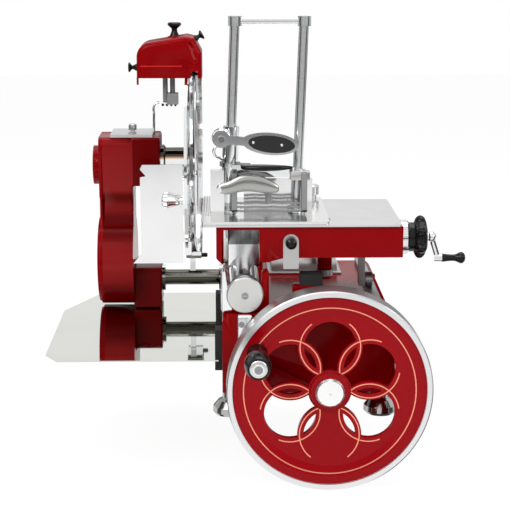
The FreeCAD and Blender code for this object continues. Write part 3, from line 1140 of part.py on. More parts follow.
def make_clamp(leaning):
    """Sliding clamp frame with its pivot boss, cross bar and front gripper."""
    left = "clamp_x - rod_spacing / 2"
    right = "clamp_x + rod_spacing / 2"
    top = "(carriage_top + deck_thick + table_thick)"
    sleeves = [leaning_tube(left, "sleeve_low", "sleeve_high", leaning),
               leaning_tube(right, "clamp_bar_z - 4", "clamp_bar_z - 4 + right_sleeve_rise",
                            leaning)]
    bar = box((left + " + " + lean_shift("clamp_bar_z"), "clamp_y - clamp_bar_half",
               "clamp_bar_z"), "rod_spacing", "2 * clamp_bar_half", "clamp_bar_rise")
    boss = ball(("boss_x", "clamp_y - 6", "boss_z"), "boss_ball")
    pin = rod(("boss_x", "clamp_y", "boss_z"), "lever_pin_radius",
              "clamp_y - lever_y + lever_thick + 4", FACING)
    bores = [rod((start + " + " + lean_shift("sleeve_low - 9"), "clamp_y", "sleeve_low - 9"),
                 "rod_radius + run_fit", "sleeve_high - sleeve_low + 40", leaning)
             for start in (left, right)]
    clear = box(("boss_x - 2 * boss_ball", "lever_y - 40", "boss_z - 2 * boss_ball"),
                "4 * boss_ball", "40 + seat_gap", "4 * boss_ball")
    body = cut(join(sleeves + [bar, boss]), bores + [clear])
    keep("clamp_frame", join([body, pin]))
    bars = []
    for number in range(3):
        height = "grip_low + grip_bar + grip_pitch * %d" % number
        bars.append(rod(("grip_left", "grip_y", height), "grip_bar", "grip_right - grip_left",
                        ALONG_X))
    ends = [box((spot, "grip_y - grip_bar", "grip_low"), "grip_end", "2 * grip_bar",
                "2 * grip_pitch + 2 * grip_bar") for spot in ("grip_left", "grip_right - grip_end")]
    arms = [box((spot, "grip_y", "grip_low + 2 * grip_pitch"), "grip_arm",
                "clamp_y - clamp_bar_half - grip_y", "clamp_bar_z - grip_low - 2 * grip_pitch + 10")
            for spot in ("grip_left + 26", "grip_right - 44")]
    keep("gripper", join(bars + ends + arms))


def oval(length, height, thick, centre):
    """Flat oval in the x, y plane."""
    curve = Part.Ellipse(Vector(0, 0, 0), length / 2, height / 2).toShape()
    face = Part.Face(Part.Wire([curve]))
    face.translate(centre)
    return face.extrude(Vector(0, 0, thick))


def make_clamp_lever():
    """Big clamp lever: steel oval with a black inlay and two rivets, on the boss pin."""
    thick = size("lever_thick")
    reach = size("lever_neck") + size("lever_length") / 2
    blade = oval(size("lever_length"), size("lever_height"), thick, Vector(reach, 0, 0))
    neck = Part.makeBox(size("lever_neck") + 8, size("lever_bar"), thick,
                        Vector(0, -size("lever_bar") / 2, 0))
    eye = Part.makeCylinder(size("lever_eye"), thick)
    bore = Part.makeCylinder(size("lever_pin_radius") + size("run_fit"), thick)
    at = ("boss_x", "lever_y", "boss_z")
    tilted = FACING.multiply(Rotation(Vector(0, 0, 1), -size("lever_tilt")))
    keep("clamp_lever", shaped(blade.fuse([neck, eye]).cut(bore), at, tilted))
    inlay = oval(size("inlay_length"), size("inlay_height"), size("inlay_proud"),
                 Vector(reach + 2, 0, thick))
    keep("lever_inlay", shaped(inlay, at, tilted))


def make_low_lever(leaning):
    """Lower lever whose ring turns on the left sleeve."""
    thick = size("low_lever_thick")
    ring = size("sleeve_radius") + size("low_lever_wall")
    centre = Vector(ring + size("low_lever_length") / 2 + 4, size("low_lever_y") - size("clamp_y"), 0)
    blade = oval(size("low_lever_length"), size("low_lever_height"), thick, centre)
    aside = size("low_lever_y - clamp_y")
    neck = Part.makeBox(1.8 * ring, -aside - ring / 3, thick, Vector(ring / 6, aside, 0))
    eye = Part.makeCylinder(ring, thick)
    bore = Part.makeCylinder(size("sleeve_radius") + size("run_fit"), thick)
    start = "clamp_x - rod_spacing / 2 + " + lean_shift("low_lever_z")
    keep("low_lever", shaped(blade.fuse([neck, eye]).cut(bore), (start, "clamp_y", "low_lever_z"),
                             leaning))


def make_fish_handle():
    """Polished fish-shaped handle that turns on the side post's pin."""
    length = size("fish_length")
    high = size("fish_height")
    eye = size("fish_eye")
    back = [(0.23, 0.65), (0.46, 0.97), (0.71, 0.785), (0.9, 0.45), (1, 0.25)]
    belly = [(1, -0.02), (0.9, -0.24), (0.71, -0.15), (0.46, -0.05), (0.23, -0.28)]
    upper = Part.BSplineCurve()
    upper.interpolate([Vector(0, eye * 0.6, 0)]
                      + [Vector(length * along, high * rise, 0) for along, rise in back])
    lower = Part.BSplineCurve()
    lower.interpolate([Vector(length * along, high * rise, 0) for along, rise in belly]
                      + [Vector(0, -eye * 0.9, 0)])
    tip = Part.makeLine(upper.EndPoint, lower.StartPoint)
    side = Part.makeLine(lower.EndPoint, upper.StartPoint)
    face = Part.Face(Part.Wire([upper.toShape(), tip, lower.toShape(), side]))
    thick = size("fish_thick")
    body = face.extrude(Vector(0, 0, thick)).fuse(Part.makeCylinder(eye, thick))
    bore = Part.makeCylinder(size("fish_pin_radius") + size("run_fit"), thick)
    keep("fish_handle", shaped(body.cut(bore), ("fish_x", "fish_y + fish_thick - seat_gap",
                                                "fish_z"), FACING))


def make_sharpener():
    """Sharpener on its post: block, columns, hollow cover, stones and knobs."""
    post = box(("guard_left", "drive_y - post_half", "knife_z"), "post_right - guard_left",
               "2 * post_half", "post_top - knife_z")
    seat = rod(("guard_left - 1", "drive_y", "knife_z"), "guard_hub_radius", 20, ALONG_X)
    keep("sharpener_post", cut(post, [seat]))
    block = box(("block_left", "drive_y - block_half", "block_low"), "block_right - block_left",
                "2 * block_half", "block_high - block_low")
    slot = box(("guard_left - 0.2", "drive_y - post_half - 0.2", "block_low - 1"),
               "post_right - guard_left + 0.4", "2 * post_half + 0.4", "block_high")
    columns = [rod((spot, "column_y", "column_low"), "column_radius", "block_low - column_low + 2")
               for spot in ("column_left", "column_right")]
    keep("sharpener_block", join([cut(block, [slot])] + columns))
    nut = box(("column_right - nut_block / 2", "column_y - nut_block / 2", "column_low - 3"),
              "nut_block", "nut_block", "nut_block")
    holes = [rod((spot, "column_y", "column_low - 4"), "column_radius", "2 * nut_block")
             for spot in ("column_left", "column_right")]
    keep("column_nut", cut(nut, holes))
    make_sharpener_cover()
    make_sharpener_knobs()


def make_sharpener_cover():
    """Hollow cover with a sloping top, a hanger on the block and notches for the knife."""
    def outline(inset):
        return [("sharp_left + " + inset, "sharp_low - " + inset),
                ("sharp_left + " + inset, "sharp_eave - " + inset),
                ("sharp_right - 2 * sharp_slope", "sharp_ridge - " + inset),
                ("sharp_right - sharp_slope - " + inset, "sharp_ridge - 3 - " + inset),
                ("sharp_right - " + inset, "sharp_shoulder - " + inset),
                ("sharp_right - " + inset, "sharp_low - " + inset)]
    shell = plate(outline("0"), "2 * sharp_half_y", (0, "drive_y + sharp_half_y", 0), FACING,
                  {1: "sharp_round", 2: "sharp_round / 2", 3: "sharp_soft", 4: "sharp_soft"})
    shell = soften(shell, "sharp_soft", size("sharp_low"))
    skirt = box(("sharp_left - skirt_proud", "drive_y - sharp_half_y - skirt_proud", "sharp_low"),
                "sharp_right - sharp_left + 2 * skirt_proud",
                "2 * (sharp_half_y + skirt_proud)", "skirt_rise")
    hollow = plate(outline("sharp_wall"), "2 * sharp_half_y - 2 * sharp_wall",
                   (0, "drive_y + sharp_half_y - sharp_wall", 0), FACING,
                   {1: "sharp_round - sharp_wall"})
    hanger = box(("top_boss_x - hanger_wide / 2", "drive_y - hanger_half", "block_high"),
                 "hanger_wide", "2 * hanger_half", "sharp_eave - block_high + 4")
    boss = rod(("top_boss_x", "drive_y", "sharp_eave"), "top_boss_radius",
               "sharp_ridge + top_boss_rise - sharp_eave")
    notch = box(("knife_x + knife_thick / 2 - notch_half", "drive_y - sharp_half_y - 1",
                 "sharp_low - 1"), "2 * notch_half", "2 * sharp_half_y + 2", "notch_rise + 1")
    left_bore = rod(("sharp_left - 1", "side_knob_y", "side_knob_z"), "side_pin_radius + run_fit",
                    "sharp_wall + 2", ALONG_X)
    stem = rod(("top_boss_x", "drive_y", "sharp_ridge + top_boss_rise - 12"),
               "top_knob_stem + run_fit", 13)
    body = join([cut(shell, [hollow]), hanger, boss])
    keep("sharpener_cover", cut(body, [notch, left_bore, stem, tilt_bore()]))


def tilt_turn():
    """Direction of the tilted knob: square to the cover's right slope."""
    return Rotation(Vector(0, 1, 0), size("tilt_knob_angle"))


def tilt_place():
    """Where the tilted knob's pin leaves the cover's right slope."""
    share = size("(tilt_knob_x - sharp_right + sharp_slope) / sharp_slope")
    drop = size("sharp_ridge - 3 - sharp_shoulder")
    return ("tilt_knob_x", "drive_y", "sharp_ridge - 3 - %.6f" % (share * drop))


def tilt_bore():
    """Hole for the tilted knob's pin."""
    direction = tilt_turn().multVec(Vector(0, 0, 1))
    centre = Vector(*[size(part) for part in tilt_place()])
    length = 5 * size("sharp_wall")
    return shaped(Part.makeCylinder(size("side_pin_radius") + size("run_fit"), 2 * length,
                                    centre - direction * length, direction))


def knob_outline(stem, radius, inside, length):
    """Lathe outline of a small round knob on a pin."""
    return [(0, "-(%s)" % inside), (stem, "-(%s)" % inside), (stem, "seat_gap"),
            (radius + " * 0.75", "seat_gap"), (radius + " * 0.7", length + " * 0.12"),
            (radius + " * 0.42", length + " * 0.4"), (radius + " * 0.42", length + " * 0.58"),
            (radius, length + " * 0.82"), (radius, length + " * 0.94"),
            (radius + " * 0.85", length), (0, length)]


def make_sharpener_knobs():
    """Three black knobs, each on its own pin, and the two grinding stones."""
    top = knob_outline("top_knob_stem", "top_knob_radius", "10", "top_knob_rise")
    keep("top_knob", turned(top, ("top_boss_x", "drive_y", "sharp_ridge + top_boss_rise")))
    leftward = Rotation(Vector(0, 1, 0), -90)
    reach = "knife_x - stone_gap - sharp_left"
    side = knob_outline("side_pin_radius", "side_knob_radius", reach, "side_knob_length")
    keep("left_knob", turned(side, ("sharp_left", "side_knob_y", "side_knob_z"), leftward))
    stone = tube(("knife_x - stone_gap - stone_thick", "side_knob_y", "side_knob_z"),
                 "stone_radius", "side_pin_radius", "stone_thick", ALONG_X)
    keep("left_stone", stone)
    tilted = knob_outline("side_pin_radius", "side_knob_radius", "2 * sharp_wall",
                          "side_knob_length")
    knob = turned(tilted, tilt_place(), tilt_turn())
    keep("right_knob", knob)
    seat = "sharp_right - sharp_wall - stone_thick - seat_gap"
    keep("right_stone", tube((seat, "side_knob_y", "side_knob_z"), "stone_radius",
                             "side_pin_radius", "stone_thick", ALONG_X))
    keep("right_stone_pin", rod((seat, "side_knob_y", "side_knob_z"), "side_pin_radius",
                                "stone_thick + seat_gap", ALONG_X))


def merge(label, *labels):
    """Make one sub-part of pieces that are fixed together."""
    parts = [piece for piece in kept if piece.Label in labels]
    for piece in parts:
        kept.remove(piece)
        piece.Label = piece.Label + "_piece"
    keep(label, join(parts))


def merge_fixed_pieces():
    """Join the pieces that are pressed, screwed or welded to each other."""
    merge("feet", "foot_front_left", "foot_front_right", "foot_rear_left", "foot_rear_right")
    merge("shaft_bushes", "main_bush_front", "main_bush_rear", "upright_bush",
          "cross_bush_inner", "cross_bush_outer", "cross_bush_case", "knife_bush_right",
          "knife_bush_left")
    merge("main_shaft", "main_shaft", "main_gear")
    merge("upright_shaft", "upright_shaft", "upright_gear_low", "upright_gear_high")
    merge("cross_shaft", "cross_shaft", "cross_gear", "low_sprocket")
    merge("knife_shaft", "knife_shaft", "knife_hub", "high_sprocket", "knife_screws")
    merge("clamp_lever", "clamp_lever", "lever_inlay")
    merge("fence", "fence_plate", "side_post")
    merge("carriage", "carriage", "drive_pin")
    merge("case_lid", "case_lid", "lid_knob")
    merge("handle_bolt", "handle_bolt", "handle_washer")
    merge("knife_guard", "knife_guard", "guard_strut", "sharpener_post", "hinge_block")
    merge("deflector", "deflector", "deflector_handle")
    merge("bar_cap", "bar_cap", "bar_screw")
    merge("bar_saddles", "saddle_front", "saddle_rear")
    merge("food_table", "food_table", "feed_nut")
    merge("clamp_rods", "clamp_rod_left", "clamp_rod_right", "top_bar")
    merge("left_knob", "left_knob", "left_stone")
    merge("right_stone", "right_stone", "right_stone_pin")
    merge("sharpener_block", "sharpener_block", "column_nut")
    merge("feed_crank", "feed_screw", "feed_crank")


def check_and_write():
    """Stop if anything failed, then write each sub-part to its own STEP file."""
    doc.recompute()
    for item in doc.Objects:
        if "Invalid" in item.State or "Error" in item.State:
            raise RuntimeError("%s (%s) failed" % (item.Label, item.Name))
    os.makedirs("parts", exist_ok=True)
    for piece in kept:
        if piece.Shape.isNull() or not piece.Shape.isValid() or not piece.Shape.Solids:
            raise RuntimeError("%s has no sound shape" % piece.Label)
        piece.Shape.exportStep("parts/%s.step" % piece.Label)
        print(piece.Label, len(piece.Shape.Solids), round(piece.Shape.Volume))


fill_sheet()
make_feet()
make_base()
make_gear_cover()
make_base_fittings()
make_handle(*make_flywheel())
make_main_shaft()
make_upright_drive()
make_connecting_rod()
make_cross_drive()
make_drive_case()
make_chain_drive()
make_knife()
make_guard()
make_deflector()
make_tray()
make_slide_bar()
make_carriage()
make_latch()
make_track_roller()
make_feed_end()
make_food_table()
rod_turn = make_rods()
make_clamp(rod_turn)
make_clamp_lever()
make_low_lever(rod_turn)
make_fish_handle()
make_sharpener()
merge_fixed_pieces()
check_and_write()
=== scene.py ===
"""Hand crank meat slicer: finishes, fine detail, studio and camera."""

from __future__ import annotations

import logging
import math
from contextlib import contextmanager
from dataclasses import dataclass, field
from enum import Enum
from typing import ClassVar, Iterator, Sequence

import bmesh
import bpy
from mathutils import Euler, Matrix, Vector


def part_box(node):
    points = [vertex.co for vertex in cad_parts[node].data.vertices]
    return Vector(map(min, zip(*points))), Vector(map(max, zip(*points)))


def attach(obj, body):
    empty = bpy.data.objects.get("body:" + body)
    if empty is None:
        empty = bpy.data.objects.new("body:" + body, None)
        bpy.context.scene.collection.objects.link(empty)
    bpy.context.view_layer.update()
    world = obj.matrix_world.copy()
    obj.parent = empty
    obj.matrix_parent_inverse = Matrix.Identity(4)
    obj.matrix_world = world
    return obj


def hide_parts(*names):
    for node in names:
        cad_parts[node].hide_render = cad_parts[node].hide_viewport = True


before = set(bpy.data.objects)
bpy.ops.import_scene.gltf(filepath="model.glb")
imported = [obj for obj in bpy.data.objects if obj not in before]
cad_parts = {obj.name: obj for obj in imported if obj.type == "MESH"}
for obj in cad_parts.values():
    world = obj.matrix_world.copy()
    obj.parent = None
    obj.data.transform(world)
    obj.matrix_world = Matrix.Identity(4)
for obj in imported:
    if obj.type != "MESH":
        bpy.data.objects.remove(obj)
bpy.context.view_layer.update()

log = logging.getLogger("slicer")

Colour = tuple[float, float, float]
Point = tuple[float, float, float]

# Directions that pieces face.
AHEAD: Point = (0.0, -1.0, 0.0)
UPWARDS: Point = (0.0, 0.0, 1.0)
DOWNWARDS: Point = (0.0, 0.0, -1.0)

# Bumps to a metre of the noises that the finishes share.
CLOUDS = 9.0
SMEARS = 30.0
MOTTLE = 45.0
PEEL = 420.0
HAIRS = 900.0

# Degrees under which a copy's faces become one, and a small detail's edges stay unbevelled
# and shade as one surface.
FLAT_ANGLE = 0.5
SOFT_ANGLE = 35.0

# Distance under which a CAD node's loose corners are one corner.
SEAM = 2e-6


# ---------------------------------------------------------------- shader sums


class Signal:
    """One value in a shader, with arithmetic that adds Math nodes."""

    def __init__(self, graph: Graph, socket: bpy.types.NodeSocket) -> None:
        """Wrap a socket of a graph."""
        self.graph = graph
        self.socket = socket

    def _join(self, operation: str, *values: Signal | float) -> Signal:
        """Add a Math node.

        Args:
            operation: Name of the Math node's operation.
            values: What goes into its sockets, in order.

        Returns:
            The node's result.
        """
        return self.graph.node("ShaderNodeMath", {"operation": operation}, dict(enumerate(values)))

    def __add__(self, other: Signal | float) -> Signal:
        """Sum."""
        return self._join("ADD", self, other)

    def __radd__(self, other: Signal | float) -> Signal:
        """Sum from the right."""
        return self._join("ADD", other, self)

    def __sub__(self, other: Signal | float) -> Signal:
        """Difference."""
        return self._join("SUBTRACT", self, other)

    def __rsub__(self, other: Signal | float) -> Signal:
        """Difference from the right."""
        return self._join("SUBTRACT", other, self)

    def __mul__(self, other: Signal | float) -> Signal:
        """Product."""
        return self._join("MULTIPLY", self, other)

    def __rmul__(self, other: Signal | float) -> Signal:
        """Product from the right."""
        return self._join("MULTIPLY", other, self)

    def __truediv__(self, other: Signal | float) -> Signal:
        """Quotient."""
        return self._join("DIVIDE", self, other)

    def __lt__(self, other: Signal | float) -> Signal:
        """One where smaller."""
        return self._join("LESS_THAN", self, other)

    def __gt__(self, other: Signal | float) -> Signal:
        """One where larger."""
        return self._join("GREATER_THAN", self, other)

    def __abs__(self) -> Signal:
        """Size without sign."""
        return self._join("ABSOLUTE", self)

    def root(self) -> Signal:
        """Square root."""
        return self._join("SQRT", self)

    def most(self, other: Signal | float) -> Signal:
        """Larger of two."""
        return self._join("MAXIMUM", self, other)

    def wave(self) -> Signal:
        """Sine."""
        return self._join("SINE", self)


class Graph:
    """Shader nodes of a material or of the world."""

    def __init__(self, tree: bpy.types.NodeTree) -> None:
        """Hold the tree that nodes are added to."""
        self.tree = tree

    def node(self, kind: str, settings: dict[str, object], inputs: dict[object, object],
             output: int | str = 0) -> Signal:
        """Add any node.

        Args:
            kind: The node's type.
            settings: Properties that are set first; "stops" fills a colour ramp.
            inputs: Values or signals by socket name or number.
            output: Which output comes back.

        Returns:
            The chosen output.
        """
        made = self.tree.nodes.new(kind)
        for word, value in settings.items():
            if word == "stops":
                self._fill_ramp(made, value)
            else:
                setattr(made, word, value)
        for key, value in inputs.items():
            if isinstance(value, Signal):
                self.tree.links.new(value.socket, made.inputs[key])
            else:
                made.inputs[key].default_value = value
        return Signal(self, made.outputs[output])

    @staticmethod
    def _fill_ramp(made: bpy.types.Node, stops: Sequence[tuple[float, Colour]]) -> None:
        """Put colour stops on a ramp.

        Args:
            made: The ramp's node.
            stops: Places from 0 to 1 and their colours.
        """
        ramp = made.color_ramp
        while len(ramp.elements) < len(stops):
            ramp.elements.new(0.5)
        for element, (where, colour) in zip(ramp.elements, stops):
            element.position = where
            element.color = (*colour, 1.0)

    def ramp(self, share: Signal, stops: Sequence[tuple[float, Colour]]) -> Signal:
        """Colour at a share of the way along some stops."""
        return self.node("ShaderNodeValToRGB", {"stops": stops}, {0: share})

    def greys(self, share: Signal, stops: Sequence[tuple[float, float]]) -> Signal:
        """Grey at a share of the way along some stops."""
        return self.ramp(share, [(where, (shade, shade, shade)) for where, shade in stops])

    def angle(self, first: Signal, second: Signal) -> Signal:
        """Angle whose tangent is the first over the second."""
        return self.node("ShaderNodeMath", {"operation": "ARCTAN2"}, {0: first, 1: second})

    def split(self, place: Signal) -> tuple[Signal, ...]:
        """The three parts of a vector."""
        first = self.node("ShaderNodeSeparateXYZ", {}, {0: place})
        return tuple(Signal(self, socket) for socket in first.socket.node.outputs)

    def ray(self, kind: str) -> Signal:
        """One for light of a kind, such as Camera or Glossy."""
        return self.node("ShaderNodeLightPath", {}, {}, f"Is {kind} Ray")

    def blend(self, share: Signal, first: Signal, second: Signal) -> Signal:
        """Mix of two shaders, where a share of 0 gives the first."""
        return self.node("ShaderNodeMixShader", {}, {0: share, 1: first, 2: second})

    def surface(self, output: bpy.types.Node, shader: Signal) -> None:
        """Send a shader to an output node."""
        self.tree.links.new(shader.socket, output.inputs["Surface"])


class Recipe(Graph):
    """A material being built, node by node."""

    def __init__(self, name: str) -> None:
        """Start a material with a Principled shader.

        Args:
            name: The material's name.
        """
        self.material = bpy.data.materials.new(name)
        self.material.use_nodes = True
        super().__init__(self.material.node_tree)
        self.shader = self.tree.nodes["Principled BSDF"]
        self.place = self.node("ShaderNodeTexCoord", {}, {}, "Object")

    def axes(self) -> tuple[Signal, ...]:
        """The three parts of the object's own coordinates."""
        return self.split(self.place)

    def noise(self, scale: float, detail: float = 3.0, stretch: Point = (1.0, 1.0, 1.0)) -> Signal:
        """Noise from 0 to 1.

        Args:
            scale: Bumps to a metre.
            detail: Layers of finer noise.
            stretch: Scale along each axis.

        Returns:
            The noise's value.
        """
        vector = self.place
        if stretch != (1.0, 1.0, 1.0):
            vector = self.node("ShaderNodeMapping", {}, {"Vector": self.place, "Scale": stretch})
        return self.node("ShaderNodeTexNoise", {},
                         {"Vector": vector, "Scale": scale, "Detail": detail})

    def mix(self, share: Signal, first: Colour | Signal, second: Colour | Signal) -> Signal:
        """Blend of two colours.

        Args:
            share: 0 gives the first, 1 the second.
            first: A colour or a colour signal.
            second: A colour or a colour signal.

        Returns:
            The blended colour.
        """
        def full(colour: Colour | Signal) -> object:
            """Give a plain colour its alpha."""
            return colour if isinstance(colour, Signal) else (*colour, 1.0)
        return self.node("ShaderNodeMix", {"data_type": "RGBA"},
                         {0: share, 6: full(first), 7: full(second)}, 2)

    def feed(self, **inputs: object) -> None:
        """Set or link the shader's sockets.

        Args:
            inputs: Values or signals by socket name, with underscores for spaces.
        """
        for word, value in inputs.items():
            socket = self.shader.inputs[word.replace("_", " ")]
            if isinstance(value, Signal):
                self.tree.links.new(value.socket, socket)
            else:
                socket.default_value = value

    def bump(self, height: Signal, strength: float, distance: float) -> None:
        """Raise the surface by a height signal.

        Args:
            height: The signal.
            strength: Share of the effect.
            distance: Metres that a height of 1 stands for.
        """
        self.feed(Normal=self.node("ShaderNodeBump", {}, {
            "Strength": strength, "Distance": distance, "Height": height}))


# ------------------------------------------------------------------- finishes


class Grain(Enum):
    """Which way a metal's polishing lines run."""

    NONE = (1.0, 1.0, 1.0)
    LENGTHWISE = (0.04, 1.0, 1.0)
    ACROSS = (1.0, 0.04, 1.0)
    UPRIGHT = (1.0, 1.0, 0.04)


@dataclass(frozen=True)
class Enamel:
    """Thick glossy stove enamel over cast iron."""

    name: str = "RedEnamel"
    colour: Colour = (0.31, 0.0004, 0.0022)
    deep: Colour = (0.24, 0.0002, 0.0014)
    roughness: float = 0.15
    coat: float = 0.0
    peel: float = 0.04
    sheen: float = 0.07
    coat_roughness: float = 0.05

    def build(self) -> bpy.types.Material:
        """Make the material.

        Returns:
            The material.
        """
        recipe = Recipe(self.name)
        return self.lay(recipe, self.tone(recipe), Coat_Weight=self.coat,
                        Coat_Roughness=self.coat_roughness)

    def tone(self, recipe: Recipe) -> Signal:
        """Clouded colour of the enamel."""
        return recipe.mix(recipe.noise(CLOUDS, 4.0), self.colour, self.deep)

    def lay(self, recipe: Recipe, tone: Signal, **more: object) -> bpy.types.Material:
        """Give a material the enamel's gloss and peel.

        Args:
            recipe: The material that is being built.
            tone: Its colour.
            more: What else its shader is fed.

        Returns:
            The material.
        """
        recipe.feed(Base_Color=tone, Roughness=self.roughness + 0.08 * recipe.noise(MOTTLE),
                    Specular_IOR_Level=self.sheen, **more)
        recipe.bump(recipe.noise(PEEL, 2.0), self.peel, 0.0006)
        return recipe.material


@dataclass(frozen=True)
class Metal:
    """Bare or plated metal with faint smears and polishing lines."""

    name: str
    colour: Colour
    shade: Colour
    roughness: float
    smear: float = 0.05
    grain: Grain = Grain.NONE
    lines: float = 0.0
    patches: float = 14.0

    def build(self) -> bpy.types.Material:
        """Make the material.

        Returns:
            The material.
        """
        recipe = Recipe(self.name)
        cloud = recipe.noise(self.patches, 5.0)
        hairs = recipe.noise(HAIRS, 2.0, self.grain.value)
        recipe.feed(Base_Color=recipe.mix(cloud, self.colour, self.shade), Metallic=1.0,
                    Roughness=self.roughness + self.smear * recipe.noise(SMEARS, 6.0)
                    + 0.5 * self.lines * hairs)
        if self.lines:
            recipe.bump(hairs, self.lines, 0.0002)
        return recipe.material


@dataclass(frozen=True)
class Turned:
    """Metal faced on a lathe, with fine rings about an axis along X."""

    name: str
    centre: tuple[float, float]
    colour: Colour = (0.80, 0.81, 0.82)
    roughness: float = 0.14
    ring_rate: float = 9000.0
    waver: float = 3.0
    darker: float = 0.86

    def build(self) -> bpy.types.Material:
        """Make the material.

        Returns:
            The material.
        """
        recipe = Recipe(self.name)
        _, across, upward = recipe.axes()
        side = across - self.centre[0]
        high = upward - self.centre[1]
        radius = (side * side + high * high).root()
        rings = (radius * self.ring_rate + recipe.noise(60.0) * self.waver).wave()
        shade = tuple(part * self.darker for part in self.colour)
        recipe.feed(Base_Color=recipe.mix(recipe.noise(12.0, 4.0), self.colour, shade),
                    Metallic=1.0, Roughness=self.roughness + 0.05 * recipe.noise(25.0, 5.0))
        recipe.bump(rings, 0.04, 0.0002)
        return recipe.material


@dataclass(frozen=True)
class Moulded:
    """Moulded plastic or rubber."""

    name: str
    colour: Colour
    roughness: float
    texture: float = 0.05
    sheen: float = 0.3

    def build(self) -> bpy.types.Material:
        """Make the material.

        Returns:
            The material.
        """
        recipe = Recipe(self.name)
        lighter = tuple(part * 1.8 + 0.002 for part in self.colour)
        recipe.feed(Base_Color=recipe.mix(recipe.noise(25.0, 4.0), self.colour, lighter),
                    Roughness=self.roughness + 0.08 * recipe.noise(60.0, 4.0),
                    Specular_IOR_Level=self.sheen)
        recipe.bump(recipe.noise(HAIRS, 2.0), self.texture, 0.0003)
        return recipe.material


@dataclass(frozen=True)
class WheelPaint:
    """Enamel of the flywheel with its bare rim and drawn gold lines."""

    centre: tuple[float, float] = (0.034, 0.066)
    bare_from: float = 0.1553
    rim_front: float = -0.2462
    tread_from: float = 0.161
    ring_radius: float = 0.1375
    petals: int = 6
    first_petal: float = 30.0
    petal_reach: float = 0.0729
    petal_line: float = 0.0480
    line_half: float = 0.0009
    boss: float = 0.0338
    front_face: float = -0.2385
    gap: float = 38.0
    gold: Colour = (1.0, 0.37, 0.24)
    gold_metal: float = 0.35
    bare: Colour = (0.80, 0.80, 0.81)
    bare_dull: float = 0.14
    ring_rate: float = 7000.0
    enamel: Enamel = field(default_factory=lambda: Enamel(
        "WheelRed", (0.38, 0.0012, 0.006), (0.29, 0.0006, 0.004), sheen=0.13))

    def build(self) -> bpy.types.Material:
        """Make the material.

        Returns:
            The material.
        """
        recipe = Recipe("WheelEnamel")
        across, deep, upward = recipe.axes()
        side = across - self.centre[0]
        high = upward - self.centre[1]
        radius = (side * side + high * high).root()
        lines = abs(radius - self.ring_radius) < self.line_half
        for number in range(self.petals):
            turn = math.radians(self.first_petal + 360 / self.petals * number)
            lines = lines.most(self._petal_line(side, high, turn))
        gilt = lines * (deep < self.front_face) * (radius > self.boss)
        turned = (deep < self.rim_front).most(radius > self.tread_from)
        metal = (radius > self.bare_from) * turned
        painted = recipe.mix(gilt, self.enamel.tone(recipe), self.gold)
        rings = (radius * self.ring_rate).wave()
        recipe.feed(Base_Color=recipe.mix(metal, painted, self.bare),
                    Metallic=metal + gilt * self.gold_metal,
                    Roughness=self.enamel.roughness + 0.06 * recipe.noise(MOTTLE)
                    + self.bare_dull * metal,
                    Specular_IOR_Level=self.enamel.sheen)
        recipe.bump(rings * metal * 0.4 + recipe.noise(PEEL, 2.0), 0.05, 0.0005)
        return recipe.material

    def _petal_line(self, side: Signal, high: Signal, angle: float) -> Signal:
        """Arc of one petal, left open on the side away from the hub.

        Args:
            side: Distance right of the wheel's centre.
            high: Distance above it.
            angle: Direction of the petal.

        Returns:
            One on the line, zero elsewhere.
        """
        outward = (math.cos(angle), math.sin(angle))
        near_side = side - self.petal_reach * outward[0]
        near_high = high - self.petal_reach * outward[1]
        radius = (near_side * near_side + near_high * near_high).root()
        along = near_side * outward[0] + near_high * outward[1]
        drawn = along < radius * math.cos(math.radians(self.gap))
        return (abs(radius - self.petal_line) < self.line_half) * drawn


@dataclass(frozen=True)
class PartBare:
    """Enamelled casting with one block of it left as bright metal, which carries upright stripes
    of painted reflection and painted shade above a height.
    """

    name: str
    low: Point
    high: Point
    # Height above which the bright metal is painted dark as shade; 9 m leaves none.
    painted_shade_above: float = 9.0
    bare: Colour = (0.86, 0.87, 0.88)
    # Colour of the painted shade and of the dark stripes of painted reflection.
    dark: Colour = (0.05, 0.05, 0.045)
    enamel: Enamel = field(default_factory=Enamel)

    def build(self) -> bpy.types.Material:
        """Make the material.

        Returns:
            The material.
        """
        recipe = Recipe(self.name)
        axes = recipe.axes()
        bright = 1.0
        for place, low, high in zip(axes, self.low, self.high):
            bright = (place > low) * (place < high) * bright
        # Upright stripes of painted reflection, and painted shade above the height.
        painted_reflection_streaks = recipe.noise(160.0, 3.0, (1.0, 1.0, 0.06))
        metal = recipe.mix((axes[2] > self.painted_shade_above) * 0.8 + (painted_reflection_streaks - 0.5) * 0.5,
                           self.bare, self.dark)
        tone = recipe.mix(bright, self.enamel.tone(recipe), metal)
        return self.enamel.lay(recipe, tone, Metallic=bright)


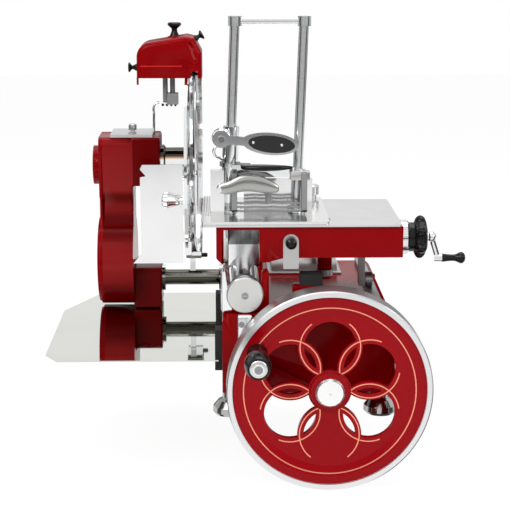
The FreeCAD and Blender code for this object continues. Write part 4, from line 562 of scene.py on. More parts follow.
@dataclass(frozen=True)
class PaintedReflectionEnamel:
    """Enamel of the drive case whose waisted front face carries painted reflections in bands by
    height, with painted shade right of a step.
    """

    front: float = 0.150
    front_share: float = 0.85
    # Right of this the front face takes the deep colour as painted shade.
    step: float = -0.2955
    low: float = 0.112
    high: float = 0.425
    # Colours of the painted reflection bands; deep is also the painted shade right of the step.
    bright_painted_reflection: Colour = (0.34, 0.020, 0.020)
    deep: Colour = (0.125, 0.0004, 0.0008)
    middle: Colour = (0.27, 0.010, 0.011)
    enamel: Enamel = field(default_factory=Enamel)

    def build(self) -> bpy.types.Material:
        """Make the material.

        Returns:
            The material.
        """
        recipe = Recipe("PaintedReflectionEnamel")
        across, deep, upward = recipe.axes()
        share = (upward - self.low) / (self.high - self.low)
        # Painted reflection bands from the bottom of the case to its top.
        stops = ((0.0, self.deep), (0.13, self.deep), (0.19, self.middle), (0.28, self.bright_painted_reflection),
                 (0.39, self.middle), (0.44, self.deep), (0.54, self.deep), (0.58, self.middle),
                 (0.61, self.middle), (0.65, self.deep), (0.67, self.deep), (0.70, self.bright_painted_reflection),
                 (0.96, self.middle), (1.0, self.middle))
        # Painted shade on the front face right of the step.
        face = recipe.mix(across > self.step, recipe.ramp(share, stops), self.deep)
        tone = recipe.mix((deep < self.front) * self.front_share, self.enamel.tone(recipe), face)
        return self.enamel.lay(recipe, tone)


@dataclass(frozen=True)
class StripedPlate:
    """Polished food table whose left margin carries raised strips with painted shade on them."""

    strips_to: float = -0.122
    deeper_shade_from: float = -0.156
    strip_shade: float = 0.45
    extra_strip_shade: float = 0.40
    top: float = 0.3275
    pitch: float = 0.0045
    plate: Colour = (0.78, 0.785, 0.77)
    # Colour of the painted shade on the strips.
    groove: Colour = (0.16, 0.155, 0.13)

    def build(self) -> bpy.types.Material:
        """Make the material.

        Returns:
            The material.
        """
        recipe = Recipe("StripedPlate")
        across, _, upward = recipe.axes()
        ribs = (across * (2 * math.pi / self.pitch)).wave()
        where = (across < self.strips_to) * (upward > self.top)
        # Share of painted shade on the raised part of each strip, larger right of -0.156 m.
        strip_shade_share = self.strip_shade + self.extra_strip_shade * (across > self.deeper_shade_from)
        share = where * (ribs > -0.1) * strip_shade_share
        recipe.feed(Base_Color=recipe.mix(share, self.plate, self.groove), Metallic=1.0,
                    Roughness=0.14 + 0.07 * recipe.noise(SMEARS, 6.0))
        hairs = recipe.noise(HAIRS, 2.0, Grain.ACROSS.value)
        recipe.bump(ribs * where + hairs * 0.05, 0.5, 0.0006)
        return recipe.material


@dataclass(frozen=True)
class PaintedReflectionBands:
    """Plated tube whose colour carries reflections painted in bands by height."""

    name: str
    stops: tuple[tuple[float, Colour], ...]
    low: float
    high: float

    def build(self) -> bpy.types.Material:
        """Make the material.

        Returns:
            The material.
        """
        recipe = Recipe(self.name)
        _, _, upward = recipe.axes()
        share = (upward - self.low) / (self.high - self.low)
        # Colour by height: painted reflections.
        recipe.feed(Base_Color=recipe.ramp(share, self.stops), Metallic=1.0,
                    Roughness=0.09 + 0.05 * recipe.noise(SMEARS, 5.0))
        return recipe.material


@dataclass(frozen=True)
class InlaidLever:
    """Plated lever whose raised front inlay is black."""

    name: str
    facing: Point
    edge: float
    black: Colour = (0.012, 0.012, 0.014)
    plate: Colour = (0.82, 0.83, 0.84)

    def build(self) -> bpy.types.Material:
        """Make the material.

        Returns:
            The material.
        """
        recipe = Recipe(self.name)
        inlay = sum((part * weight for part, weight in zip(recipe.axes(), self.facing)),
                    0.0) > self.edge
        recipe.feed(Base_Color=recipe.mix(inlay, self.plate, self.black), Metallic=1.0 - inlay,
                    Roughness=0.08 + 0.14 * inlay + 0.05 * recipe.noise(SMEARS, 5.0))
        recipe.bump(recipe.noise(500.0, 2.0), 0.03, 0.0003)
        return recipe.material


@dataclass(frozen=True)
class Graduated:
    """Plated collar with dark division marks near one end, about an axis along X."""

    name: str
    centre: tuple[float, float]
    marks_from: float
    divisions: float = 48.0
    crest: float = 0.86
    ink: Colour = (0.02, 0.02, 0.02)
    plate: Colour = (0.86, 0.865, 0.87)

    def build(self) -> bpy.types.Material:
        """Make the material.

        Returns:
            The material.
        """
        recipe = Recipe(self.name)
        along, across, upward = recipe.axes()
        turn = recipe.angle(upward - self.centre[1], across - self.centre[0])
        marks = ((turn * self.divisions).wave() > self.crest) * (along > self.marks_from)
        recipe.feed(Base_Color=recipe.mix(marks, self.plate, self.ink), Metallic=1.0 - marks,
                    Roughness=0.06 + 0.3 * marks + 0.05 * recipe.noise(SMEARS, 5.0))
        return recipe.material


@dataclass(frozen=True)
class Knurled:
    """Steel with a crossed knurl whose pits are darkened as painted shade."""

    name: str
    pitch: float = 0.0028
    colour: Colour = (0.34, 0.34, 0.34)
    darker: float = 0.35

    def build(self) -> bpy.types.Material:
        """Make the material.

        Returns:
            The material.
        """
        recipe = Recipe(self.name)
        along, across, upward = recipe.axes()
        side = along + across
        rate = 2 * math.pi / self.pitch
        cross = ((side + upward) * rate).wave() * ((side - upward) * rate).wave()
        shade = tuple(part * self.darker for part in self.colour)
        # Pits of the knurl darker as painted shade.
        recipe.feed(Base_Color=recipe.mix(cross * 0.5 + 0.5, shade, self.colour), Metallic=1.0,
                    Roughness=0.28 + 0.1 * recipe.noise(40.0, 4.0))
        recipe.bump(cross, 0.5, 0.0006)
        return recipe.material


class Palette:
    """Every finish of the machine, each built once."""

    def __init__(self) -> None:
        """Build the materials."""
        self._enamels()
        self._bands()
        self._metals()
        self.blade = Turned("BladeSteel", (0.155, 0.370)).build()
        self.black = Moulded("BlackPlastic", (0.003, 0.003, 0.0032), 0.17, 0.02, 0.24).build()
        self.rubber = Moulded("BlackRubber", (0.018, 0.018, 0.019), 0.55, 0.12).build()
        self.lever = InlaidLever("InlaidLever", AHEAD, 0.1132).build()
        self.low_lever = InlaidLever("InlaidLowLever", (0.03664, 0.0, 0.99933), 0.4060).build()
        self.dial = Graduated("GraduatedChrome", (-0.120, 0.291), 0.1585).build()
        self.knurl = Knurled("KnurledSteel").build()

    def _enamels(self) -> None:
        """Build the painted finishes."""
        self.red = Enamel().build()
        self.wheel = WheelPaint().build()
        # The bare metal of these castings carries upright stripes of painted reflection; the
        # carriage's is painted dark as shade above 0.256 m.
        self.base = PartBare("BaseEnamel", (-1.0, -1.0, -1.0), (-0.080, -0.1962, 1.0)).build()
        self.saddle = PartBare("SaddleEnamel", (-1.0, -1.0, 0.180), (-0.1215, 1.0, 1.0)).build()
        self.slide = PartBare("CarriageEnamel", (-0.1275, -0.0115, 0.2), (-0.0725, 0.02, 0.302),
                              0.256).build()
        # Drive case enamel with painted reflections and painted shade.
        self.case = PaintedReflectionEnamel().build()
        # Lighter red that paints a highlight on the cover's bead.
        self.bead = Enamel("BeadHighlightEnamel", (0.62, 0.030, 0.030), (0.50, 0.015, 0.018), 0.25).build()
        self.grey = Enamel("GreyEnamel", (0.54, 0.53, 0.52), (0.45, 0.44, 0.43), 0.34, 0.1, 0.04,
                           0.4).build()

    def _bands(self) -> None:
        """Build the finishes that vary along a piece, with painted reflections on the tubes and
        painted shade on the table's strips.
        """
        bright_painted_reflection = (0.84, 0.845, 0.85)
        dark_painted_reflection = (0.06, 0.055, 0.045)
        # Food table, with painted shade on its strips.
        self.table = StripedPlate().build()
        # Painted reflections of the bearing tube: bright below, an orange edge, dark on top.
        self.tube = PaintedReflectionBands("BearingPaintedReflections", (
            (0.0, bright_painted_reflection), (0.68, bright_painted_reflection), (0.72, (0.62, 0.34, 0.20)), (0.76, dark_painted_reflection), (1.0, dark_painted_reflection)),
            0.334, 0.406).build()
        # Painted reflections of the tie tube: dark, a bright line, a bright top.
        self.tie = PaintedReflectionBands("TiePaintedReflections", (
            (0.0, dark_painted_reflection), (0.42, dark_painted_reflection), (0.56, (0.12, 0.12, 0.10)), (0.66, (0.40, 0.40, 0.36)),
            (0.72, dark_painted_reflection), (0.92, (0.16, 0.16, 0.14)), (1.0, bright_painted_reflection)), 0.136, 0.184).build()

    def _metals(self) -> None:
        """Build the plain metals."""
        self.face = Metal("TurnedFace", (0.97, 0.97, 0.96), (0.93, 0.93, 0.92), 0.22, 0.08).build()
        self.soft_face = Metal("SoftFace", (0.76, 0.76, 0.74), (0.68, 0.68, 0.66), 0.26,
                               0.1).build()
        self.chrome = Metal("Chrome", (0.86, 0.865, 0.87), (0.74, 0.75, 0.76), 0.045).build()
        # Chrome darkened to paint the dark reflections on the feet.
        self.chrome_painted_dark = Metal("PaintedDarkChrome", (0.50, 0.50, 0.50), (0.36, 0.36, 0.36), 0.10,
                                 0.06).build()
        self.rod = Metal("RodChrome", (0.74, 0.75, 0.75), (0.66, 0.67, 0.67), 0.20, 0.06,
                         Grain.UPRIGHT, 0.03).build()
        self.sheet = Metal("PolishedSheet", (0.88, 0.88, 0.88), (0.80, 0.80, 0.80), 0.10, 0.06,
                           Grain.ACROSS, 0.02).build()
        self.mirror = Metal("MirrorSteel", (0.68, 0.69, 0.65), (0.61, 0.62, 0.58), 0.02, 0.03,
                            Grain.ACROSS, 0.008).build()
        self.steel = Metal("PolishedSteel", (0.76, 0.76, 0.77), (0.64, 0.64, 0.65), 0.16, 0.08,
                           Grain.LENGTHWISE, 0.06).build()
        self.machined = Metal("MachinedSteel", (0.42, 0.42, 0.43), (0.28, 0.28, 0.29), 0.32, 0.12,
                              Grain.ACROSS, 0.08).build()
        self.satin = Metal("SatinAluminium", (0.70, 0.70, 0.71), (0.60, 0.60, 0.61), 0.27, 0.1,
                           Grain.LENGTHWISE, 0.05).build()
        self.bronze = Metal("Bronze", (0.62, 0.42, 0.20), (0.48, 0.30, 0.14), 0.25, 0.1).build()
        self.cast = Metal("PolishedCasting", (0.50, 0.50, 0.48), (0.34, 0.34, 0.32), 0.17,
                          0.1).build()
        self.plate = Metal("BrushedPlate", (0.62, 0.61, 0.60), (0.54, 0.53, 0.52), 0.30, 0.08,
                           Grain.UPRIGHT, 0.04).build()


# ------------------------------------------------------------------- pieces


def dress(material: bpy.types.Material, *names: str) -> None:
    """Give a finish to CAD nodes.

    Args:
        material: The finish.
        names: The nodes.
    """
    for name in names:
        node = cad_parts[name]
        node.data.materials.clear()
        node.data.materials.append(material)
        log.info("dressed %s in %s", name, material.name)


def centre_of(low: Sequence[float], high: Sequence[float]) -> Point:
    """Middle of a box between two corners."""
    return tuple((near + far) / 2 for near, far in zip(low, high))


def facing(points: Point) -> Euler:
    """Turn that points the z axis along a direction."""
    return Vector(points).to_track_quat("Z", "Y").to_euler()


def clear_selection() -> None:
    """Leave nothing selected."""
    if bpy.context.object and bpy.context.object.mode != "OBJECT":
        bpy.ops.object.mode_set(mode="OBJECT")
    bpy.ops.object.select_all(action="DESELECT")


def open_mesh() -> None:
    """Edit the active piece with all of it selected."""
    bpy.ops.object.mode_set(mode="EDIT")
    bpy.ops.mesh.select_all(action="SELECT")


def close_mesh() -> None:
    """Face all of the active piece outward and stop editing it."""
    bpy.ops.mesh.select_all(action="SELECT")
    bpy.ops.mesh.normals_make_consistent(inside=False)
    bpy.ops.object.mode_set(mode="OBJECT")


def shade_under(angle: float) -> None:
    """Shade the active piece smooth across edges of less than some degrees."""
    bpy.ops.object.shade_smooth_by_angle(angle=math.radians(angle))


@contextmanager
def reworked(mesh: bpy.types.Mesh) -> Iterator[bmesh.types.BMesh]:
    """Open a mesh for rework, then write it back.

    Args:
        mesh: The mesh.

    Yields:
        Its editable form.
    """
    work = bmesh.new()
    work.from_mesh(mesh)
    yield work
    work.to_mesh(mesh)
    work.free()


def round_edges(piece: bpy.types.Object, width: float, segments: int) -> None:
    """Bevel a piece's hard edges and apply it.

    Args:
        piece: The piece, made active.
        width: Bevel width.
        segments: Its segments.
    """
    bpy.context.view_layer.objects.active = piece
    bevel = piece.modifiers.new("Round", "BEVEL")
    bevel.width = width
    bevel.segments = segments
    bevel.limit_method = "ANGLE"
    bevel.angle_limit = math.radians(SOFT_ANGLE)
    bpy.ops.object.modifier_apply(modifier="Round")


def settle(name: str, material: bpy.types.Material, body: str) -> bpy.types.Object:
    """Finish the active piece: place in its mesh, name, finish, body.

    Args:
        name: The piece's name.
        material: Its finish.
        body: The body it rides on.

    Returns:
        The piece.
    """
    piece = bpy.context.object
    bpy.ops.object.transform_apply(location=True, rotation=True, scale=True)
    piece.name = name
    piece.data.name = name
    piece.data.materials.clear()
    piece.data.materials.append(material)
    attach(piece, body)
    clear_selection()
    log.info("made %s on %s", name, body)
    return piece


@dataclass(frozen=True)
class Piece:
    """Small piece that is modelled here and rides on a body."""

    name: str
    body: str
    slot: str

    def make(self, material: bpy.types.Material) -> bpy.types.Object:
        """Build the piece and finish it.

        Args:
            material: Its finish.

        Returns:
            The piece.
        """
        clear_selection()
        self.shape()
        return settle(self.name, material, self.body)

    def shape(self) -> None:
        """Build the piece and leave it selected and active."""
        raise NotImplementedError


@dataclass(frozen=True)
class Copy:
    """Reshaped copy of a CAD node, which stands for it."""

    prefix: ClassVar[str]
    flatten: ClassVar[bool] = True
    smooth: ClassVar[float] = 32.0
    node: str
    body: str
    slot: str

    def make(self, material: bpy.types.Material) -> bpy.types.Object:
        """Copy the node, close its mesh and reshape it.

        Args:
            material: The copy's finish.

        Returns:
            The copy.
        """
        clear_selection()
        name = self.prefix + self.node
        piece = bpy.data.objects.new(name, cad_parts[self.node].data.copy())
        bpy.context.scene.collection.objects.link(piece)
        bpy.context.view_layer.objects.active = piece
        piece.select_set(True)
        open_mesh()
        bpy.ops.mesh.remove_doubles(threshold=SEAM)
        if self.flatten:
            bpy.ops.mesh.dissolve_limited(angle_limit=math.radians(FLAT_ANGLE))
        bpy.ops.object.mode_set(mode="OBJECT")
        self.reshape(piece)
        shade_under(self.smooth)
        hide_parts(self.node)
        return settle(name, material, self.body)

    def reshape(self, piece: bpy.types.Object) -> None:
        """Change the copy's mesh."""
        raise NotImplementedError


@dataclass(frozen=True)
class Casting(Copy):
    """Copy of a sharp-edged node with its long edges rounded."""

    prefix = "Rounded_"
    width: float
    segments: int
    shortest: float = 0.012
    sharp: float = 40.0
    outer_only: bool = False

    def reshape(self, piece: bpy.types.Object) -> None:
        """Round the long sharp edges.

        Args:
            piece: The copy.
        """
        self._weigh(piece.data)
        bevel = piece.modifiers.new("Round", "BEVEL")
        bevel.width = self.width
        bevel.segments = self.segments
        bevel.limit_method = "WEIGHT"
        bevel.use_clamp_overlap = False
        bpy.ops.object.modifier_apply(modifier="Round")

    def _weigh(self, mesh: bpy.types.Mesh) -> None:
        """Mark the long sharp edges for the bevel.

        Args:
            mesh: The copy's mesh.
        """
        limit = math.radians(self.sharp)
        with reworked(mesh) as work:
            layer = work.edges.layers.float.new("bevel_weight_edge")
            for edge in work.edges:
                turned = len(edge.link_faces) == 2 and edge.calc_face_angle(0.0) > limit
                if self.outer_only and not edge.is_convex:
                    turned = False
                edge[layer] = 1.0 if turned and edge.calc_length() > self.shortest else 0.0


@dataclass(frozen=True)
class Crowned(Copy):
    """Copy of a lobed knob with its lobes domed along its axis."""

    prefix = "Crowned_"
    smooth = 44.0
    root_share: float = 0.60
    least: float = 0.22
    cuts: Sequence[float] = (-0.96, -0.85, -0.65, -0.35, 0.0, 0.35, 0.65, 0.85, 0.96)

    def reshape(self, piece: bpy.types.Object) -> None:
        """Cut the knob into slices and draw the lobes in towards both ends.

        Args:
            piece: The copy.
        """
        low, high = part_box(self.node)
        middle = centre_of(low, high)
        half = (high[0] - low[0]) / 2
        root = (high[2] - low[2]) / 2 * self.root_share
        with reworked(piece.data) as work:
            for cut in self.cuts:
                bmesh.ops.bisect_plane(work, geom=[*work.verts, *work.edges, *work.faces],
                                       plane_co=(middle[0] + cut * half, 0, 0),
                                       plane_no=(1, 0, 0))
            for corner in work.verts:
                offset = min(1.0, abs(corner.co.x - middle[0]) / half)
                across, upward = corner.co.y - middle[1], corner.co.z - middle[2]
                reach = math.hypot(across, upward)
                if reach > root:
                    share = max(self.least, math.sqrt(1.0 - offset * offset))
                    scale = (root + (reach - root) * share) / reach
                    corner.co.y = middle[1] + across * scale
                    corner.co.z = middle[2] + upward * scale


@dataclass(frozen=True)
class Pressed(Copy):
    """Copy of a node with its top pressed lower round a spindle."""

    prefix = "Low_"
    flatten = False
    spindle: tuple[float, float]
    foot: float
    share: float
    drop: float
    above: float
    reach: float = 0.020

    def reshape(self, piece: bpy.types.Object) -> None:
        """Lower what stands above a height round the spindle.

        Args:
            piece: The copy.
        """
        for point in piece.data.vertices:
            away = math.hypot(point.co.x - self.spindle[0], point.co.y - self.spindle[1])
            if point.co.z > self.above and away < self.reach:
                point.co.z = self.foot + (point.co.z - self.foot) * self.share - self.drop


@dataclass(frozen=True)
class Screw(Piece):
    """Slotted round head, bevelled, that points along a direction."""

    at: Point
    points: Point
    radius: float
    rise: float
    slot_width: float
    sides: int = 32

    def shape(self) -> None:
        """Build the head and cut its slot."""
        turn = facing(self.points)
        centre = Vector(self.at) + Vector(self.points).normalized() * self.rise / 2
        bpy.ops.mesh.primitive_cylinder_add(vertices=self.sides, radius=self.radius,
                                            depth=self.rise, location=centre, rotation=turn)
        head = bpy.context.object
        groove = self._groove(centre, turn)
        cutter = head.modifiers.new("Groove", "BOOLEAN")
        cutter.object = groove
        cutter.operation = "DIFFERENCE"
        bpy.context.view_layer.objects.active = head
        bpy.ops.object.modifier_apply(modifier="Groove")
        bpy.data.objects.remove(groove)
        round_edges(head, self.rise * 0.2, 2)
        head.select_set(True)

    def _groove(self, centre: Vector, turn: Euler) -> bpy.types.Object:
        """Block that cuts the screw's slot.

        Args:
            centre: Middle of the head.
            turn: The head's turn.

        Returns:
            The block.
        """
        lift = Vector((0, 0, self.rise * 0.45))
        lift.rotate(turn)
        bpy.ops.mesh.primitive_cube_add(size=1.0, location=centre + lift, rotation=turn)
        block = bpy.context.object
        block.scale = (self.radius * 3, self.slot_width, self.rise)
        return block


@dataclass(frozen=True)
class BentRod(Piece):
    """Round rod bent through a row of points."""

    points: Sequence[Point]
    radius: float
    rings: int = 4
    steps: int = 10

    def shape(self) -> None:
        """Build the rod as a bevelled curve and make it a mesh."""
        bpy.ops.curve.primitive_bezier_curve_add(location=(0, 0, 0))
        rod = bpy.context.object
        spline = rod.data.splines[0]
        spline.bezier_points.add(len(self.points) - 2)
        for knot, place in zip(spline.bezier_points, self.points):
            knot.co = place
            knot.handle_left_type = "AUTO"
            knot.handle_right_type = "AUTO"
        rod.data.dimensions = "3D"
        rod.data.bevel_depth = self.radius
        rod.data.bevel_resolution = self.rings
        rod.data.resolution_u = self.steps
        rod.data.use_fill_caps = True
        bpy.ops.object.convert(target="MESH")
        shade_under(SOFT_ANGLE)


@dataclass(frozen=True)
class Block(Piece):
    """Machined block with bevelled edges and a sunk front."""

    low: Point
    high: Point
    soft: float

    def shape(self) -> None:
        """Inset the front of a block, sink it and bevel every edge."""
        bpy.ops.mesh.primitive_cube_add(size=1.0, location=centre_of(self.low, self.high))
        block = bpy.context.object
        block.scale = [far - near for near, far in zip(self.low, self.high)]
        bpy.ops.object.transform_apply(location=True, rotation=True, scale=True)
        with reworked(block.data) as work:
            front = min(work.faces, key=lambda face: face.calc_center_median().y)
            bmesh.ops.inset_individual(work, faces=[front], thickness=self.soft * 1.6,
                                       depth=-self.soft * 0.7)
        round_edges(block, self.soft * 0.4, 2)
        shade_under(SOFT_ANGLE)
        block.select_set(True)


@dataclass(frozen=True)
class Gripper(Piece):
    """Toothed bars one above the other between two posts."""

    left: float = -0.1210
    right: float = 0.0030
    front: float = -0.1150
    rear: float = -0.0905
    heights: tuple[float, ...] = (0.3330, 0.3392, 0.3454)
    set_back: float = 0.0022
    rise: float = 0.0026
    tooth: float = 0.0017
    pitch: float = 0.0031
    thick: float = 0.0030
    sway: float = 0.0004
    sway_rate: float = 210.0
    post: float = 0.0095
    top: float = 0.3960
    foot: float = 0.3315
    soft: float = 0.00035

    def shape(self) -> None:
        """Build the bars tooth by tooth, add the posts and bevel the whole."""
        mesh = bpy.data.meshes.new(self.name)
        with reworked(mesh) as work:
            for level, height in enumerate(self.heights):
                self._bar(work, height, self.front + self.set_back * level)
            for start in (self.left, self.right - self.post):
                self._post(work, start)
            bmesh.ops.recalc_face_normals(work, faces=work.faces)
        piece = bpy.data.objects.new(self.name, mesh)
        bpy.context.scene.collection.objects.link(piece)
        piece.select_set(True)
        round_edges(piece, self.soft, 1)

    def _bar(self, work: bmesh.types.BMesh, height: float, front: float) -> None:
        """Add one bar with teeth along its lower edge.

        Args:
            work: The mesh it is added to.
            height: The bar's lower edge between teeth.
            front: Its front face.
        """
        count = int((self.right - self.left) / self.pitch)
        upper, lower = [], []
        for number in range(count + 1):
            along = self.left + (self.right - self.left) * number / count
            sway = self.sway * math.sin(along * self.sway_rate)
            drop = self.tooth if number % 2 else 0.0
            upper.append(work.verts.new((along, front, height + self.rise + sway)))
            lower.append(work.verts.new((along, front, height - drop + sway)))
        faces = [work.faces.new((upper[k], upper[k + 1], lower[k + 1], lower[k]))
                 for k in range(count)]
        grown = bmesh.ops.extrude_face_region(work, geom=faces)["geom"]
        moved = [item for item in grown if isinstance(item, bmesh.types.BMVert)]
        bmesh.ops.translate(work, vec=(0.0, self.thick, 0.0), verts=moved)

    def _post(self, work: bmesh.types.BMesh, start: float) -> None:
        """Add one flat post from the bars to the clamp's cross bar.

        Args:
            work: The mesh it is added to.
            start: The post's left side.
        """
        middle = Vector((start + self.post / 2, (self.front + self.rear) / 2,
                         (self.foot + self.top) / 2))
        size = (self.post, self.rear - self.front, self.top - self.foot)
        bmesh.ops.create_cube(work, size=1.0,
                              matrix=Matrix.Translation(middle) @ Matrix.Diagonal((*size, 1.0)))


@dataclass(frozen=True)
class Loft(Piece):
    """Smooth body drawn through oval sections that stand across X.

    Each station gives x, y, z, half the depth and half the height.
    """

    stations: tuple[tuple[float, float, float, float, float], ...]
    sides: int = 16
    levels: int = 2

    def shape(self) -> None:
        """Extrude an oval from station to station and smooth it."""
        along, across, upward, deep, high = self.stations[0]
        bpy.ops.mesh.primitive_circle_add(vertices=self.sides, radius=1.0, fill_type="NGON",
                                          location=(along, across, upward),
                                          rotation=(0.0, math.pi / 2, 0.0))
        piece = bpy.context.object
        piece.scale = (high, deep, 1.0)
        bpy.ops.object.transform_apply(location=True, rotation=True, scale=True)
        open_mesh()
        for station in self.stations[1:]:
            step = (station[0] - along, station[1] - across, station[2] - upward)
            bpy.ops.mesh.extrude_region_move(TRANSFORM_OT_translate={"value": step})
            bpy.ops.transform.resize(value=(1.0, station[3] / deep, station[4] / high),
                                     center_override=station[:3])
            along, across, upward, deep, high = station
        close_mesh()
        smooth = piece.modifiers.new("Smooth", "SUBSURF")
        smooth.levels = self.levels
        smooth.render_levels = self.levels
        bpy.ops.object.modifier_apply(modifier="Smooth")
        bpy.ops.object.shade_smooth()
        piece.select_set(True)


@dataclass(frozen=True)
class Ribbed(Piece):
    """Collar with ribs round it that run along its axis."""

    at: Point
    points: Point
    radius: float
    length: float
    ribs: int
    depth: float

    def shape(self) -> None:
        """Draw in two of every four edges of a many-sided collar and bevel its ends."""
        bpy.ops.mesh.primitive_cylinder_add(vertices=4 * self.ribs, radius=self.radius,
                                            depth=self.length)
        collar = bpy.context.object
        for point in collar.data.vertices:
            turn = math.degrees(math.atan2(point.co.y, point.co.x)) * self.ribs / 90.0
            if round(turn) % 4 in (0, 1):
                point.co.x *= self.depth
                point.co.y *= self.depth
        round_edges(collar, self.length * 0.05, 2)
        collar.rotation_euler = facing(self.points)
        collar.location = self.at
        collar.select_set(True)


@dataclass(frozen=True)
class Dome(Piece):
    """Low round head of a rivet, a washer or a pin's rounded end."""

    at: Point
    points: Point
    radius: float
    rise: float
    sides: int = 28
    steps: int = 5
    smooth: float = 50.0

    def shape(self) -> None:
        """Build the head from a disc, drawn up in steps."""
        bpy.ops.mesh.primitive_circle_add(vertices=self.sides, radius=self.radius,
                                          fill_type="NGON")
        head = bpy.context.object
        open_mesh()
        turns = [math.radians(90 * step / self.steps) for step in range(self.steps)]
        for before, now in zip(turns, turns[1:]):
            lift = self.rise * (math.sin(now) - math.sin(before))
            bpy.ops.mesh.extrude_region_move(TRANSFORM_OT_translate={"value": (0, 0, lift)})
            wide = math.cos(now) / math.cos(before)
            bpy.ops.transform.resize(value=(wide, wide, 1.0), center_override=(0, 0, 0))
        close_mesh()
        shade_under(self.smooth)
        head.rotation_euler = facing(self.points)
        head.location = self.at
        head.select_set(True)


# ------------------------------------------------------------- sub-assemblies


@dataclass(frozen=True)
class Stand:
    """Base casting, feet, bar, rail and receiving tray."""

    palette: Palette
    cap_screw_out: float = 0.0008
    post_screw: Point = (-0.1057, -0.2036, 0.1660)

    def finish(self) -> None:
        """Dress the still parts of the machine's stand."""
        look = self.palette
        Casting("base_casting", "frame", "red_paint", 0.003, 4).make(look.base)
        Casting("gear_cover", "frame", "grey_paint", 0.002, 3).make(look.grey)
        # Feet in chrome darkened as painted reflection.
        dress(look.chrome_painted_dark, "feet")
        dress(look.chrome, "slide_bar")
        dress(look.tie, "tie_tube")
        dress(look.soft_face, "bar_cap")
        self._screws()
        Casting("bar_saddles", "frame", "aluminium", 0.005, 5).make(look.saddle)
        dress(look.machined, "roller_rail")
        dress(look.rubber, "stop_buffer", "tray_hooks")
        dress(look.bronze, "shaft_bushes")
        dress(look.mirror, "receiving_tray")

    def _screws(self) -> None:
        """Slotted screws in the bar's cap and in the front post."""
        low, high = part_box("bar_cap")
        along, _, upward = centre_of(low, high)
        Screw("CapScrew", "frame", "chrome", (along, low[1] + self.cap_screw_out, upward), AHEAD,
              0.0056, 0.0016, 0.0013).make(self.palette.machined)
        Screw("PostScrew", "frame", "chrome", self.post_screw, AHEAD,
              0.0050, 0.0016, 0.0020).make(self.palette.machined)


@dataclass(frozen=True)
class Wheel:
    """Flywheel, its handle and the shafts it turns."""

    palette: Palette
    washer: float = 0.0138
    washer_out: float = -0.0002
    screw_out: float = 0.0006

    def finish(self) -> None:
        """Dress the wheel and the drive line."""
        look = self.palette
        dress(look.wheel, "flywheel")
        dress(look.face, "hub_cap")
        dress(look.chrome, "handle_bolt")
        self._grip_end()
        dress(look.black, "wheel_grip")
        dress(look.machined, "main_shaft", "upright_shaft", "crank_arm", "cross_shaft",
              "knife_shaft", "connecting_rod", "drive_chain")

    def _grip_end(self) -> None:
        """Chrome washer and slotted screw on the near end of the wheel's grip."""
        low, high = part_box("wheel_grip")
        along, _, upward = centre_of(low, high)
        Dome("GripWasher", "flywheel", "chrome", (along, low[1] + self.washer_out, upward), AHEAD,
             self.washer, 0.0018).make(self.palette.soft_face)
        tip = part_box("handle_bolt")[0][1]
        Screw("GripScrew", "flywheel", "chrome", (along, tip + self.screw_out, upward), AHEAD,
              0.0066, 0.0014, 0.0014).make(self.palette.machined)


